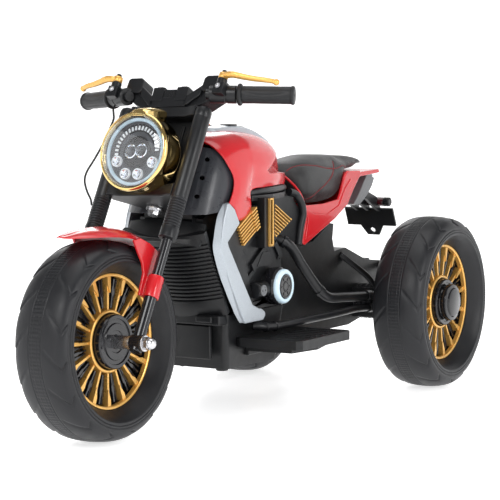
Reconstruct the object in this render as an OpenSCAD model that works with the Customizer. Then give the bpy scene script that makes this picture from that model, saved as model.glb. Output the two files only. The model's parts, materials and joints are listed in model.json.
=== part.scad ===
// Battery ride-on trike in the style of a cruiser motorcycle.
// Millimetres. +Z is up, the front points along -Y, and the rider's left is +X.
// The origin is on the ground, midway between the front and rear axles.

/* [Wheels] */
// Outside diameter of all three tyres
wheel_d = 300; // [280:1:320]
// Distance between the front and rear axles
wheelbase = 743; // [720:1:770]
// Distance from the centre plane to the middle of a rear tyre
half_track = 192; // [185:1:200]
// Width of a tyre
tyre_w = 97; // [85:1:100]
// Radius where the tyre meets the rim
rim_r = 101; // [95:1:104]
// Number of spokes in each wheel
spoke_count = 16; // [12:1:20]
// Radius of the steel axles
axle_r = 6; // [5:0.5:7]

/* [Steering] */
// Rake of the fork, from vertical
rake = 28.8; // [26:0.2:31]
// Angle the bars are turned at rest, positive to the left
rest_steer = -3; // [-6:0.5:6]
// Distance from the fork legs back to the steering axis
axis_back = 40; // [38:1:44]
// Distance from the centre plane to each fork leg
fork_x = 72; // [70:1:74]
// Radius of the upper fork covers
cover_r = 13; // [12:0.5:14]
// Radius of the lower fork tubes
lower_r = 9.5; // [9:0.5:10]
// Height of the fork above the axle, along the leg
fork_top = 391; // [388:1:394]

/* [Headlamp] */
// Radius of the lamp bezel
lamp_r = 62; // [58:1:64]
// Upward tilt of the lamp
lamp_pitch = 14; // [8:1:20]

/* [Body] */
// Half of the body's width over the silver side strakes
body_x = 92; // [90:1:94]
// Wall of the moulded covers
wall = 3; // [2.5:0.5:3.5]
// Height of the footboard's top
foot_z = 129; // [127:1:131]
// Distance from the centre plane to the footboard's outer edge
foot_x = 185; // [178:1:188]

/* [Hidden] */
wheel_r = wheel_d / 2;
axle_y = wheelbase / 2;
fit = 0.05;          // radial clearance of a running fit
gap = 0.3;           // gap between neighbouring mouldings
column_r = 8;        // steering column
bar_r = 8;           // handlebar tube
lens_h = 12;         // height of the lamp lens dome
lamp_pos = [0, -48, 292];               // lamp face centre, in the fork frame
bar_in = [88, -2, 413];                 // inner end of the left bar tube, fork frame
bar_dir = [108, 42, 18];                // its direction
bar_len = norm(bar_dir);
lever_pivot = [101, -14, 437];          // left lever's hinge, fork frame
lever_tip = [185, 7, 436];
$fn = 64;

// ---------------------------------------------------------------- helpers

// Children drawn in the fork frame: origin on the front axle, z up along the legs
module steered()
    translate([0, -axle_y, wheel_r])
    rotate([-rake, 0, 0])
    translate([0, axis_back, 0])
    rotate([0, 0, rest_steer])
    translate([0, -axis_back, 0])
    children();

// Children drawn twice, the second one mirrored across the centre plane
module pair() {
    children();
    mirror([1, 0, 0]) children();
}

// A side outline of [y, z] points, extruded from x0 to x1
module side_plate(points, x0, x1)
    translate([x0, 0, 0])
    rotate([90, 0, 90])
    linear_extrude(x1 - x0)
    polygon(points);

// A round bar along x, from x0 to x1
module x_bar(x0, x1, r)
    translate([x0, 0, 0])
    rotate([0, 90, 0])
    cylinder(h = x1 - x0, r = r);

// A round bar between two points
module rod(a, b, r) {
    d = b - a;
    translate(a)
    rotate([0, acos(d[2] / norm(d)), atan2(d[1], d[0])])
    cylinder(h = norm(d), r = r);
}

// A solid of revolution about the x axis, from [radius, x] points
module x_revolve(points)
    rotate([0, 90, 0])
    rotate_extrude($fn = 96)
    polygon(points);

// A value on a smooth curve through the rows of a table, i from 0 to the last row
function spline(rows, i) =
    let (last = len(rows) - 1, k = min(floor(i), last - 1), f = i - k,
         a = rows[max(k - 1, 0)], b = rows[k], c = rows[k + 1], d = rows[min(k + 2, last)])
    b + 0.5 * f * ((c - a) + f * ((2 * a - 5 * b + 4 * c - d) + f * (3 * (b - c) + d - a)));

// The rows of a table with "steps" more rows between each two
function refine(rows, steps) =
    [for (i = [0 : steps * (len(rows) - 1)]) spline(rows, i / steps)];

function power(v, n) = sign(v) * pow(abs(v), 2 / n);

// One cross-section [y, half width, low z, widest z, high z, squareness], shrunk by t
function section(s, t, points) =
    [for (k = [0 : points - 1])
        let (a = 360 * k / points, up = sin(a) >= 0)
        [(s[1] - t) * power(cos(a), s[5]),
         s[0],
         s[3] + power(sin(a), s[5]) * ((up ? s[4] - s[3] : s[3] - s[2]) - t)]];

// A closed skin over rings of equal point counts
module loft(rings) {
    n = len(rings[0]);
    m = len(rings);
    points = [for (ring = rings) for (p = ring) p];
    sides = [for (i = [0 : m - 2]) for (k = [0 : n - 1])
        let (a = i * n + k, b = i * n + (k + 1) % n)
        each [[a, b, a + n], [b, b + n, a + n]]];
    polyhedron(points, concat(
        sides,
        [[for (k = [0 : n - 1]) n - 1 - k]],
        [[for (k = [0 : n - 1]) (m - 1) * n + k]]));
}

// A lofted body over a table of sections
module hull_form(rows, t = 0, steps = 3, points = 32)
    loft([for (s = refine(rows, steps)) section(s, t, points)]);

// A round tube swept along a route that never runs along "up", with rings square to the route
module swept_tube(route, r, sides, up = [0, 0, 1]) {
    last = len(route) - 1;
    loft([for (i = [0 : last])
        let (d = route[min(i + 1, last)] - route[max(i - 1, 0)],
             w = d / norm(d),
             side = cross(w, up),
             u = norm(side) < 0.2 ? [1, 0, 0] : side / norm(side),
             v = cross(w, u))
        [for (k = [0 : sides - 1])
            let (a = 360 * k / sides)
            route[i] - r * cos(a) * u + r * sin(a) * v]]);
}

// ---------------------------------------------------------------- wheels

// An outline of [radius, x] points given for one side, completed with its mirror image
function both_sides(half) =
    concat(half, [for (i = [len(half) - 1 : -1 : 0]) [half[i][0], -half[i][1]]]);

function reversed(list) = [for (i = [len(list) - 1 : -1 : 0]) list[i]];

// A hollow plastic tyre on the x axis, with dished sidewalls, open towards the rim
module tyre_form()
    x_revolve(concat(
        both_sides([
            [rim_r + gap, 20], [rim_r + gap, 24], [rim_r + 3, 27], [118, 46], [121, tyre_w / 2],
            [128, tyre_w / 2], [135, 46.5], [142, 41], [146.5, 32], [149, 19], [wheel_r, 5]]),
        reversed(both_sides([
            [rim_r + 5, 20], [rim_r + 6, 23], [121, 42], [124, 44], [127, 44], [132, 42.5],
            [138.5, 38], [142.5, 30], [145, 18], [146, 5]]))));

// A rim with its hub and spokes, both faces alike
module rim_form() {
    hub_r = 41;
    hub_x = 34;
    ring_r = 47;
    web_x = 5;
    barrel_x = 24;
    x_revolve(both_sides([
        [axle_r + fit, hub_x], [hub_r, hub_x], [hub_r, 22], [ring_r, 22], [ring_r, web_x],
        [96, web_x], [96, barrel_x], [rim_r, barrel_x]]));
    for (i = [0 : spoke_count - 1])
        rotate([i * 360 / spoke_count, 0, 0])
        translate([-20, -2.5, ring_r - 1])
        cube([40, 5, 96.5 - ring_r + 1]);
}

// A domed cap over the axle nut, on the outside of a rear hub
module cap_form()
    x_revolve([[0, 48], [26, 48], [32, 43], [32, 34.3], [24, 34.3], [24, 45], [0, 45]]);

module front_tyre() color("#34363a") steered() tyre_form();
module front_rim() color("#c9963f") steered() rim_form();

module rear_wheel_place(side)
    translate([side * half_track, axle_y, wheel_r])
    mirror([side < 0 ? 1 : 0, 0, 0])
    children();

module rear_tyre_left() color("#34363a") rear_wheel_place(1) tyre_form();
module rear_tyre_right() color("#34363a") rear_wheel_place(-1) tyre_form();
module rear_rim_left() color("#c9963f") rear_wheel_place(1) rim_form();
module rear_rim_right() color("#c9963f") rear_wheel_place(-1) rim_form();
module rear_cap_left() color("#1c1d1f") rear_wheel_place(1) cap_form();
module rear_cap_right() color("#1c1d1f") rear_wheel_place(-1) cap_form();

// ---------------------------------------------------------------- fork and steering

module front_axle()
    color("silver") steered() {
        x_bar(-97, 97, axle_r);
        pair() x_bar(34.4, 61.8, 10);
    }

// A washer and an acorn nut at each end of the front axle
module axle_nuts()
    color("silver") steered() pair() {
        x_revolve([[axle_r + fit, 84.3], [12, 84.3], [12, 86.5], [axle_r + fit, 86.5]]);
        x_revolve([[axle_r + fit, 86.8], [10, 86.8], [10, 95], [8, 99.5], [5, 102.5], [0, 104],
            [0, 97.3], [axle_r + fit, 97.3]]);
    }

module steering_column()
    color("dimgray") steered() {
        translate([0, axis_back, 238]) cylinder(h = 170, r = column_r);
        translate([0, axis_back, 226]) cylinder(h = 8, r = 9, $fn = 6);
        translate([0, axis_back, 234]) cylinder(h = 4, r = 13);
    }

// A flat plate between both fork legs, with the column through it, from z0 to z1
module yoke_plate(z0, z1)
    difference() {
        translate([0, 0, z0])
        linear_extrude(z1 - z0)
        polygon([[-fork_x, -11], [-40, -5], [40, -5], [fork_x, -11], [fork_x, 8], [34, 35],
            [14, 50], [-14, 50], [-34, 35], [-fork_x, 8]]);
        pair() translate([fork_x, 0, z0 - 1]) cylinder(h = z1 - z0 + 2, r = cover_r + fit);
        translate([0, axis_back, z0 - 1]) cylinder(h = z1 - z0 + 2, r = column_r + fit);
    }

module fork_yokes()
    color("#26272a") difference() {
        steered() {
            yoke_plate(238.2, 258);
            yoke_plate(374, fork_top + 1);
            translate([-52, 14, 257]) cube([104, 6, 118]);
            pair() translate([47, 14, 257]) cube([5, 12, 118]);
        }
        lamp_frame()
        rotate_extrude($fn = 96)
        polygon([[0, -70], [8 + fit, -70], [8 + fit, -55.5], [26, -55.5], [46, -50], [56, -41],
            [59, -30], [lamp_r + 2, -4], [lamp_r + 2, 6], [0, 6]]);
    }

collar_z = 168;      // foot of the fork's gaiter
gaiter_rings = 11;
gaiter_pitch = 4.3;

// One fork leg, from its dropout to the rounded top of its cover
module fork_leg()
    translate([fork_x, 0, 0])
    difference() {
        union() {
            translate([0, 0, -14]) cylinder(h = 122, r = lower_r);
            x_bar(-9, 12, 12.5);
            cylinder(h = collar_z + 10, r = 8);
            translate([0, 0, collar_z]) cylinder(h = 20, r = 14);
            rotate_extrude()
            polygon(concat(
                [[0, collar_z + 19]],
                [for (i = [0 : gaiter_rings - 1], p = [[12, 0], [13.4, 2.1]])
                    [p[0], collar_z + 20 + gaiter_pitch * i + p[1]]],
                [[cover_r - fit, 236], [cover_r - fit, fork_top - 7], [9, fork_top - 1],
                    [0, fork_top]]));
        }
        x_bar(-10, 13, axle_r + fit);
    }

module fork_left() color("#1a1b1d") steered() fork_leg();
module fork_right() color("#1a1b1d") steered() mirror([1, 0, 0]) fork_leg();

// The middle of the mudguard over the tyre as [across the fork, up the fork, half width] rows
fender_rows = [[14, 165, 55], [-20, 167, 56], [-57, 160, 54], [-90, 144, 46],
    [-120, 123, 32], [-142, 107, 14], [-153, 101, 4]];
fender_drop = 16;    // how far the mudguard's edges hang below its middle
fender_wall = 3;

// The mudguard's rings, drawn in by t all round
function fender_ring(row, t) =
    let (w = row[2], n = 8,
         over = [for (k = [-n : n]) [w * k / n, -fender_drop * pow(abs(k / n), 3) * w / 56]],
         under = [for (k = [n : -1 : -n]) [(w - t) * k / n,
             -fender_drop * pow(abs(k / n), 3) * w / 56 - t]])
    [for (p = concat(over, under)) [p[0], row[0], row[1] + p[1]]];

module front_fender() {
    arm = [[-52, 143], [-30, 150], [-4, 149], [12, 104], [13, 74], [-10, 72], [-13, 106],
        [-34, 122]];
    color("#d8232a") steered() {
        loft([for (row = refine(fender_rows, 3)) fender_ring(row, fender_wall)]);
        pair() {
            difference() {
                union() {
                    side_plate(arm, 54, 58.5);
                    translate([fork_x, 0, 72]) cylinder(h = 34, r = 12.2);
                    translate([56, -8, 73]) cube([8, 16, 32]);
                }
                translate([fork_x, 0, 60]) cylinder(h = 60, r = lower_r + fit);
            }
        }
    }
}

// ---------------------------------------------------------------- handlebar

// Places children on the left bar tube: z runs outwards along it from the clamp block
module on_bar()
    translate(bar_in)
    rotate([0, acos(bar_dir[2] / bar_len), atan2(bar_dir[1], bar_dir[0])])
    children();

perch_z = 424;       // top of the bracket that carries each lever
bar_line = [
    [32, 424], [58, 446], [88, 446], [88, 416], [66, 400], [48, fork_top + 1.2]];

module handlebar()
    color("#232427") steered() difference() {
        union() {
            translate([0, 34, 0])
            rotate([90, 0, 0])
            linear_extrude(38)
            polygon(concat(
                [[-10, 425], [10, 425], [12, 429], [30, 429]], bar_line,
                [for (p = reversed(bar_line)) [-p[0], p[1]]], [[-30, 429], [-12, 429]]));
            translate([0, axis_back, fork_top + 1.2]) cylinder(h = 22, r = 15);
            pair() {
                on_bar() translate([0, 0, -16]) cylinder(h = bar_len + 14, r = bar_r);
                on_bar() translate([0, 0, 2]) cylinder(h = 30, r = 14);
                rod([101, 0, 415], [101, -14, perch_z], 8);
                translate([101, -14, perch_z - 4]) cylinder(h = 12, r = 8);
                translate([101, -14, perch_z]) cylinder(h = 21, r = 2);
                translate([101, -14, perch_z + 18.3]) cylinder(h = 3, r = 4);
            }
        }
        translate([0, axis_back, fork_top]) cylinder(h = 40, r = column_r + fit);
    }

module grip_form()
    on_bar() difference() {
        union() {
            translate([0, 0, 34]) cylinder(h = 6, r = 17);
            translate([0, 0, 40]) cylinder(h = bar_len - 36, r = 13.5);
            translate([0, 0, bar_len - 2]) cylinder(h = 6, r = 14.5);
        }
        translate([0, 0, 33]) cylinder(h = bar_len - 35, r = bar_r + fit);
        translate([0, 0, bar_len]) cylinder(h = 10, r = 2);
    }

module grip_left() color("#2b2c30") steered() grip_form();
module grip_right() color("#2b2c30") steered() mirror([1, 0, 0]) grip_form();

// A brake lever with a ball end, turning on the pin above its perch
module lever_form() {
    base = lever_pivot;
    knuckle = [122, -17, 437];
    middle = [152, -6, 436];
    difference() {
        union() {
            translate(base - [0, 0, 4.7]) cylinder(h = 9.7, r = 7.5);
            hull() {
                translate(base) sphere(r = 4.2, $fn = 20);
                translate(knuckle) sphere(r = 4, $fn = 20);
            }
            hull() {
                translate(knuckle) sphere(r = 4, $fn = 20);
                translate(middle) sphere(r = 3.6, $fn = 20);
            }
            hull() {
                translate(middle) sphere(r = 3.6, $fn = 20);
                translate(lever_tip) sphere(r = 3.2, $fn = 20);
            }
            translate(lever_tip) sphere(r = 5);
        }
        translate(base - [0, 0, 10]) cylinder(h = 20, r = 2 + fit);
    }
}

module lever_left() color("#e0a02c") steered() lever_form();
module lever_right() color("#e0a02c") steered() mirror([1, 0, 0]) lever_form();

// ---------------------------------------------------------------- headlamp

// Children on the lamp's own axis: z points out of the lens
module lamp_frame()
    steered()
    translate(lamp_pos)
    rotate([90 + rake - lamp_pitch, 0, 0])
    children();

module lamp_housing()
    color("#caa04a") lamp_frame() difference() {
        union() {
            rotate_extrude($fn = 96)
            polygon([
                [0, -54], [24, -54], [44, -49], [54, -40], [57, -30], [lamp_r, -4], [lamp_r, 3],
                [lamp_r - 4, 5], [0, 5]]);
            translate([-17, 50, -38]) cube([34, 16, 38]);
            translate([0, 0, -67]) cylinder(h = 14, r = 8);
        }
        rotate_extrude($fn = 96)
        polygon([[0, -50], [23, -50], [42, -45.5], [lamp_r - 11, -38], [lamp_r - 8, -29],
            [lamp_r - 4, -4], [lamp_r - 4, 6], [0, 6]]);
    }

module lamp_face()
    color("#3a3d42") lamp_frame()
    translate([0, 0, -10])
    cylinder(h = 6, r = lamp_r - 5.5);

module lamp_lens()
    color("#dfe8f2", 0.5) lamp_frame()
    rotate_extrude($fn = 96)
    polygon(concat(
        [[lamp_r - 4.3, -3.6], [lamp_r - 4.3, 2]],
        [for (a = [10 : 10 : 90]) [(lamp_r - 4.3) * cos(a), 2 + lens_h * sin(a)]],
        [for (a = [90 : -10 : 0]) [(lamp_r - 6.8) * cos(a), lens_h * sin(a)]],
        [[lamp_r - 6.8, -3.6]]));

// The brake cable, from the right lever's perch round the lamp to the right leg
cable_r = 1.6;
cable_route = [[-104, 0, 399.5], [-103, -2, 391], [-94, -9, 380], [-86, -14, 366],
    [-86, -17, 345], [-90, -17, 320], [-101, -13, 296], [-109, -12, 276], [-108, -12, 260],
    [-99, -10, 243], [-91, -5, 231], [-88.4, -2, 222]];

module brake_cable()
    color("#17181a") steered() swept_tube(refine(cable_route, 2), cable_r, 8, [0, 1, 0]);

// ---------------------------------------------------------------- body

// Children in the fork's frame, but fixed to the body
module raked()
    translate([0, -axle_y, wheel_r])
    rotate([-rake, 0, 0])
    children();

head_neck = [14, 95];       // half width and rear reach of the head tube's neck
neck_z = [290, 345];        // its span along the column

module head_tube()
    color("#3b3d40") raked() difference() {
        union() {
            translate([0, axis_back, 262]) cylinder(h = 108, r = 14);
            translate([-head_neck[0], axis_back, neck_z[0]])
            cube([2 * head_neck[0], head_neck[1] - axis_back, neck_z[1] - neck_z[0]]);
        }
        translate([0, axis_back, 261]) cylinder(h = 110, r = column_r + fit);
    }

// Outline of the moulded body's middle, in [y, z]
core_outline = [[-140, 424], [-60, 430], [10, 426], [60, 406], [94, 376], [104, 353],
    [110, 353], [136, 352], [142, 316], [288, 316], [258, 298], [196, 277], [142, 256], [130, 200],
    [118, 138], [60, 126], [60, 168], [-98, 168], [-118, 180], [-172, 284], [-184, 322],
    [-184, 344]];
post_y = [-52, -20];        // the upright between the two cylinders
post_z = [270, 350];
disc_pos = [-14, 205];      // centre of the round engine cover, [y, z]

// The left moulding of the body: a half shell with the engine's relief on its outside
module body_form() {
    inside = 0.15;          // half of the seam between the two mouldings
    difference() {
        union() {
            side_plate(core_outline, inside, 44);
            side_plate([[-112, 176], [-168, 284], [-176, 322], [-100, 345], [104, 345],
                [142, 316], [142, 256], [130, 200], [118, 138], [60, 126], [60, 168], [-98, 168]],
                40, 58);
            // front and rear cylinders, and the crankcase under them
            side_plate([[-132, 298], [-62, 338], [-52, 338], [-52, 290], [-104, 262]], 56, 84);
            side_plate([[-20, 346], [6, 346], [52, 316], [10, 276], [-20, 280]], 56, 82);
            side_plate([[-104, 268], [-60, 286], [-10, 284], [24, 262], [34, 214], [22, 172],
                [-70, 170], [-88, 200]], 56, 82);
            // the upright, the round cover and the starter barrel
            side_plate([[post_y[0], post_z[0]], [post_y[1], post_z[0]], [post_y[1], post_z[1]],
                [post_y[0], post_z[1]]], 56, 98);
            translate([0, disc_pos[0], disc_pos[1]]) {
                x_bar(80, 106, 25);
                x_bar(80, 113, 19.8);
            }
            translate([90, -70, 203]) rotate([-90, 0, 0]) cylinder(h = 40, r = 12);
        }
        // the hollow inside, and room for the head tube's neck
        side_plate([[-108, 186], [-158, 284], [-164, 316], [-96, 336], [96, 337], [134, 306],
            [134, 262], [122, 204], [111, 148], [70, 140], [70, 178]], -1, 52);
        side_plate([[-128, 414], [-60, 421], [6, 417], [52, 399], [84, 372], [94, 330],
            [-170, 330], [-170, 350]], -1, 38);
        side_plate([[-122, 296], [-64, 330], [-58, 330], [-58, 292], [-104, 268]], 50, 80);
        side_plate([[-14, 338], [4, 338], [42, 314], [8, 283], [-14, 286]], 50, 78);
        side_plate([[-96, 262], [-60, 279], [-12, 277], [18, 257], [28, 214], [17, 178],
            [-68, 176], [-82, 200]], 50, 78);
        raked()
        translate([-1, axis_back - 1, neck_z[0] - gap])
        cube([head_neck[0] + 1 + gap, head_neck[1] - axis_back + 1 + gap,
            neck_z[1] - neck_z[0] + 2 * gap]);
    }
    // the rim that the tank sits on
    difference() {
        linear_extrude(354)
        polygon([[inside, -72], [86, -72], [84, 0], [70, 62], [46, 100], [24, 118], [inside, 122]]);
        translate([-1, -200, -1]) cube([200, 400, 346.3]);
        translate([-1, -80, 340]) cube([45.3, 220, 20]);
    }
}

module body_left() color("#1f2022") body_form();
module body_right() color("#1f2022") difference() {
    mirror([1, 0, 0]) body_form();
    translate([socket_pos[0] + 3, socket_pos[1], socket_pos[2]]) x_bar(0, 20, 9 + fit);
}

panel_foot = [0, -128, 168];   // bottom middle of the ribbed front panel
panel_lean = 28;               // how far its top leans forward
panel_bow = 180;               // radius of its bowed face
rib_pitch = 7;
bib_front = 69;                // the plain strip above the ribs, in the fork's frame
bib_z = [196, 234];

module front_panel()
    color("#2a2b2e") {
        raked() intersection() {
            difference() {
                translate([0, bib_front + panel_bow, bib_z[0]])
                cylinder(h = bib_z[1] - bib_z[0], r = panel_bow, $fn = 128);
                translate([0, bib_front + panel_bow, bib_z[0] - 1])
                cylinder(h = bib_z[1] - bib_z[0] + 2, r = panel_bow - 4, $fn = 128);
            }
            translate([-70, bib_front, bib_z[0]]) cube([140, 30, bib_z[1] - bib_z[0]]);
        }
        translate(panel_foot)
        rotate([panel_lean, 0, 0])
        ribbed_panel();
    }

// The panel on its own base, with its ribs cut round its bow
module ribbed_panel()
    difference() {
        intersection() {
            translate([0, panel_bow - 18, 2]) cylinder(h = 150, r = panel_bow, $fn = 128);
            translate([-76, -20, 0]) cube([152, 27, 160]);
        }
        translate([0, panel_bow - 18, 6]) cylinder(h = 142, r = panel_bow - 8, $fn = 128);
        for (i = [0 : 14])
            translate([0, panel_bow - 18, 33 + i * rib_pitch])
            difference() {
                cylinder(h = 3.5, r = panel_bow + 10, $fn = 128);
                translate([0, 0, -1]) cylinder(h = 6, r = panel_bow - 3, $fn = 128);
            }
    }

// A bucket with rounded corners that widens upwards; its corners are [x, front y, rear y]
bucket_foot = [54, -104, 38];
bucket_mouth = [62, -118, 50];

module bucket_ring(corners, inset, z)
    for (x = [-1, 1], y = [corners[1] + inset, corners[2] - inset])
        translate([x * (corners[0] - inset), y, z])
        cylinder(h = 1, r = 10, $fn = 32);

module bucket(inset, z0, z1)
    hull() {
        bucket_ring(bucket_foot, inset, z0);
        bucket_ring(bucket_mouth, inset, z1 - 1);
    }

belly_z = 79;          // underside of the belly

module belly_tray()
    color("#222326") difference() {
        bucket(0, belly_z, 167.5);
        bucket(wall, belly_z + wall, 169);
    }

module battery()
    color("#4a4d52") {
        translate([-45, -78, belly_z + wall + gap]) cube([90, 101, 70]);
        translate([-30, -70, belly_z + wall + gap + 69]) cube([8, 5, 8]);
        translate([22, -70, belly_z + wall + gap + 69]) cube([8, 5, 8]);
    }

module control_box()
    color("#35525e") translate([-35, -50, 296]) cube([70, 90, 32]);

tank_rows = [
    [-154, 50, 437, 440, 450, 2.4], [-130, 74, 424, 430, 453, 2.4], [-100, 82, 402, 412, 455, 2.3],
    [-70, 83.5, 357, 396, 456, 2.3], [-30, 83, 356, 390, 455, 2.3], [10, 79, 356, 386, 450, 2.3],
    [50, 69, 356, 381, 438, 2.3], [85, 56, 356, 376, 418, 2.3], [112, 40, 356, 372, 397, 2.3],
    [128, 22, 357, 370, 384, 2.2]];
console_line = [[-90, 455], [-78, 462], [-30, 465], [20, 461], [58, 450], [86, 438]];
console_x = 27;
yoke_sweep = 26;       // room for the yokes to turn in front of the tank

// The outline of the console, grown by t all round, as a solid block
module console_block(t)
    side_plate(concat(
        [for (p = console_line) [p[0] + (p[0] < 0 ? -t : t), p[1]]],
        [[86 + t, 420 - t], [-90 - t, 438 - t]]), -console_x - t, console_x + t);

module tank_cover()
    color("#d8232a") difference() {
        hull_form(tank_rows);
        hull_form([for (r = tank_rows)
            [r[0] > 120 ? r[0] - wall : r[0] - 0.5, r[1], r[2] - 40, r[3], r[4], r[5]]], wall);
        console_block(gap);
        raked() translate([0, axis_back, 250]) cylinder(h = 150, r = yoke_sweep);
        raked() translate([-head_neck[0] - 1, axis_back, neck_z[0]])
        cube([2 * head_neck[0] + 2, head_neck[1] - axis_back + 1, neck_z[1] - neck_z[0] + 1]);
    }

button_pos = [-12, -52];
switch_pos = [12, -20];

module console()
    color("#b9bdc2") difference() {
        union() {
            difference() {
                console_block(0);
                side_plate([[-84, 400], [-84, 455], [-76, 458.5], [-30, 461.5], [19, 457.5],
                    [56, 446.5], [80, 436], [80, 400]], -console_x + wall, console_x - wall);
            }
            // the button's guide and the rocker's frame
            translate([button_pos[0], button_pos[1], 448]) cylinder(h = 14, r = 9);
            translate([switch_pos[0] - 9, switch_pos[1] - 12, 451]) cube([18, 24, 12]);
        }
        translate([button_pos[0], button_pos[1], 400]) cylinder(h = 80, r = 7 + fit);
        translate([switch_pos[0] - 5.3, switch_pos[1] - 10, 400]) cube([10.6, 20, 80]);
        translate([0, switch_pos[1], 457]) x_bar(0, 20, 1.5 + fit);
    }

module power_button()
    color("#d2571f")
    translate([button_pos[0], button_pos[1], 449])
    cylinder(h = 18, r = 7);

module direction_switch()
    color("#17181a")
    translate([switch_pos[0], switch_pos[1], 457]) {
        side_plate([[-7.5, 2], [0, 0.5], [7.5, 2], [8.5, 9], [0, 7.5], [-8.5, 9]], -5, 5);
        x_bar(-7.5, 7.5, 1.5);
    }

// A red side panel between the tank and the strake
module fairing_form()
    side_plate([[-70, 372], [-84, 356], [-79, 331], [-116, 313], [-128, 336], [-152, 346],
        [-139, 366], [-135, 384], [-128, 392], [-98, 388], [-76, 376]], 84.3, body_x);

module fairing_left() color("#d8232a") fairing_form();
module fairing_right() color("#d8232a") mirror([1, 0, 0]) fairing_form();

scoop_side = [[-240, 330], [-186, 330], [-150, 335], [-104, 345], [-104, 396], [-112, 402],
    [-128, 420], [-150, 433], [-175, 440], [-240, 440]];

// A dark curved cover beside the head tube, with three round holes
module scoop_form() {
    centre = [30, 108];
    outer_r = 53;
    intersection() {
        raked() difference() {
            translate([centre[0], centre[1], 236]) cylinder(h = 118, r = outer_r);
            translate([centre[0], centre[1], 235]) cylinder(h = 120, r = outer_r - wall);
            translate([-60, 40, 230]) cube([78, 140, 130]);
            translate([-60, 60, 230]) cube([105, 140, 130]);
            translate([-60, 112, 230]) cube([160, 80, 130]);
            for (z = [271, 303, 335])
                translate([52, 66, z])
                rotate([90, 0, 36])
                translate([0, 0, -12])
                cylinder(h = 24, r = 4);
        }
        side_plate(scoop_side, 0, 100);
    }
}

module scoop_left() color("#45474b") scoop_form();
module scoop_right() color("#45474b") mirror([1, 0, 0]) scoop_form();

// A silver strake down the front corner of the body
module strake_form() {
    side_plate([[-154, 345], [-130, 335], [-118, 311.5], [-154, 285], [-76, 180], [-50, 172],
        [-38, 165], [-45, 153], [-100, 153], [-118, 172], [-160, 231], [-182, 273], [-182, 291],
        [-172, 321]], 84.3, body_x);
    side_plate([[-172, 321], [-163, 309], [-171, 290], [-171, 276], [-148, 233], [-106, 174],
        [-100, 168.3], [-106, 157], [-118, 172], [-160, 231], [-182, 273], [-182, 291]],
        79.5, 84.5);
}

module strake_left() color("#c3cbd2") strake_form();
module strake_right() color("#c3cbd2") mirror([1, 0, 0]) strake_form();

// A row of thin bars: each runs along "angle", and the row climbs at right angles to it
module fin_bank(start, angle, step, lengths, x0, x1, thick)
    for (i = [0 : len(lengths) - 1])
        translate([x0, start[0] - i * step * sin(angle), start[1] + i * step * cos(angle)])
        rotate([angle, 0, 0])
        cube([x1 - x0, lengths[i], thick]);

front_fin_count = 12;
rear_fin_count = 8;

module fins_form() {
    // the front cylinder's slats, on their backing plate
    side_plate([[-127, 298], [-57, 336], [-57, 302], [-107, 277]], 84.3, 86);
    fin_bank([-106, 277], 29, 2.6, [for (i = [0 : front_fin_count - 1]) 56 + i * 1.4],
        85.5, 93, 1.3);
    // the rear cylinder's fins, with their round ends
    side_plate([[-12, 342], [46, 315], [4, 284], [-12, 296]], 82.3, 84);
    fin_bank([-10, 292], -26, 6.2, [for (i = [0 : rear_fin_count - 1]) 16 + i * 6.2],
        83.5, 90, 1.8);
    // the frame of the slot in the upright
    difference() {
        side_plate([[-40, 274], [-28, 274], [-28, 348], [-40, 348]], 98.3, 101);
        side_plate([[-37.5, 277], [-30.5, 277], [-30.5, 345], [-37.5, 345]], 97, 102);
    }
}

module engine_fins_left() color("#c89b4a") fins_form();
module engine_fins_right() color("#c89b4a") mirror([1, 0, 0]) fins_form();

module ring_form()
    translate([0, disc_pos[0], disc_pos[1]])
    x_revolve([[20, 106.3], [25, 106.3], [25, 111], [23, 115], [20, 115]]);

module light_ring_left() color("#cfe4ee") ring_form();
module light_ring_right() color("#cfe4ee") mirror([1, 0, 0]) ring_form();

// ---------------------------------------------------------------- footboards and pipes

// A footboard beside the belly, with a stepped underside
module board_form() {
    outline = [[58.4, -84], [76, -93], [foot_x - 8, -90], [foot_x, -82], [foot_x, 76],
        [foot_x - 8, 83], [58.4, 83]];
    difference() {
        union() {
            translate([0, 0, foot_z - 15]) linear_extrude(15) polygon(outline);
            translate([0, 0, foot_z - 24])
            linear_extrude(10)
            polygon([[74, -70], [foot_x - 30, -64], [foot_x - 18, 0], [foot_x - 34, 62], [74, 70]]);
        }
        translate([0, 0, -1]) bucket(-gap, belly_z, 170);
    }
    for (y = [-60 : 20 : 60])
        translate([112, y, foot_z - 0.5]) cube([foot_x - 122, 4, 2]);
}

module footboard_left() color("#2c2d30") board_form();

pedal_x = [-171.5, -116.5];             // the pedal's two sides
pedal_axis = [10, foot_z + 7];          // its hinge, [y, z]
pedal_rise = 9;                         // its slope when released

module footboard_right()
    color("#2c2d30") {
        difference() {
            mirror([1, 0, 0]) board_form();
            translate([pedal_x[0] - 2, -72, foot_z - 1]) cube([59, 90, 10]);
        }
        for (x = [pedal_x[0] - 4.5, pedal_x[1] + 0.5])
            difference() {
                translate([x, 4, foot_z - 2]) cube([4, 12, 14]);
                translate([0, pedal_axis[0], pedal_axis[1]]) x_bar(-180, -90, 2 + fit);
            }
        translate([0, pedal_axis[0], pedal_axis[1]]) x_bar(pedal_x[0] - 6, pedal_x[1] + 6, 2);
    }

// The accelerator pedal, hinged at its heel and held up by its spring
module foot_pedal()
    color("#303236")
    translate([0, pedal_axis[0], pedal_axis[1]])
    difference() {
        union() {
            x_bar(pedal_x[0] + 1, pedal_x[1] - 1, 5);
            rotate([-pedal_rise, 0, 0]) {
                translate([pedal_x[0], -78, -1]) cube([55, 74.5, 4.6]);
                for (i = [0 : 5])
                    translate([pedal_x[0] + 4, -72 + 11 * i, 3]) cube([47, 5, 2.5]);
            }
        }
        x_bar(-180, -100, 2 + fit);
    }

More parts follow.
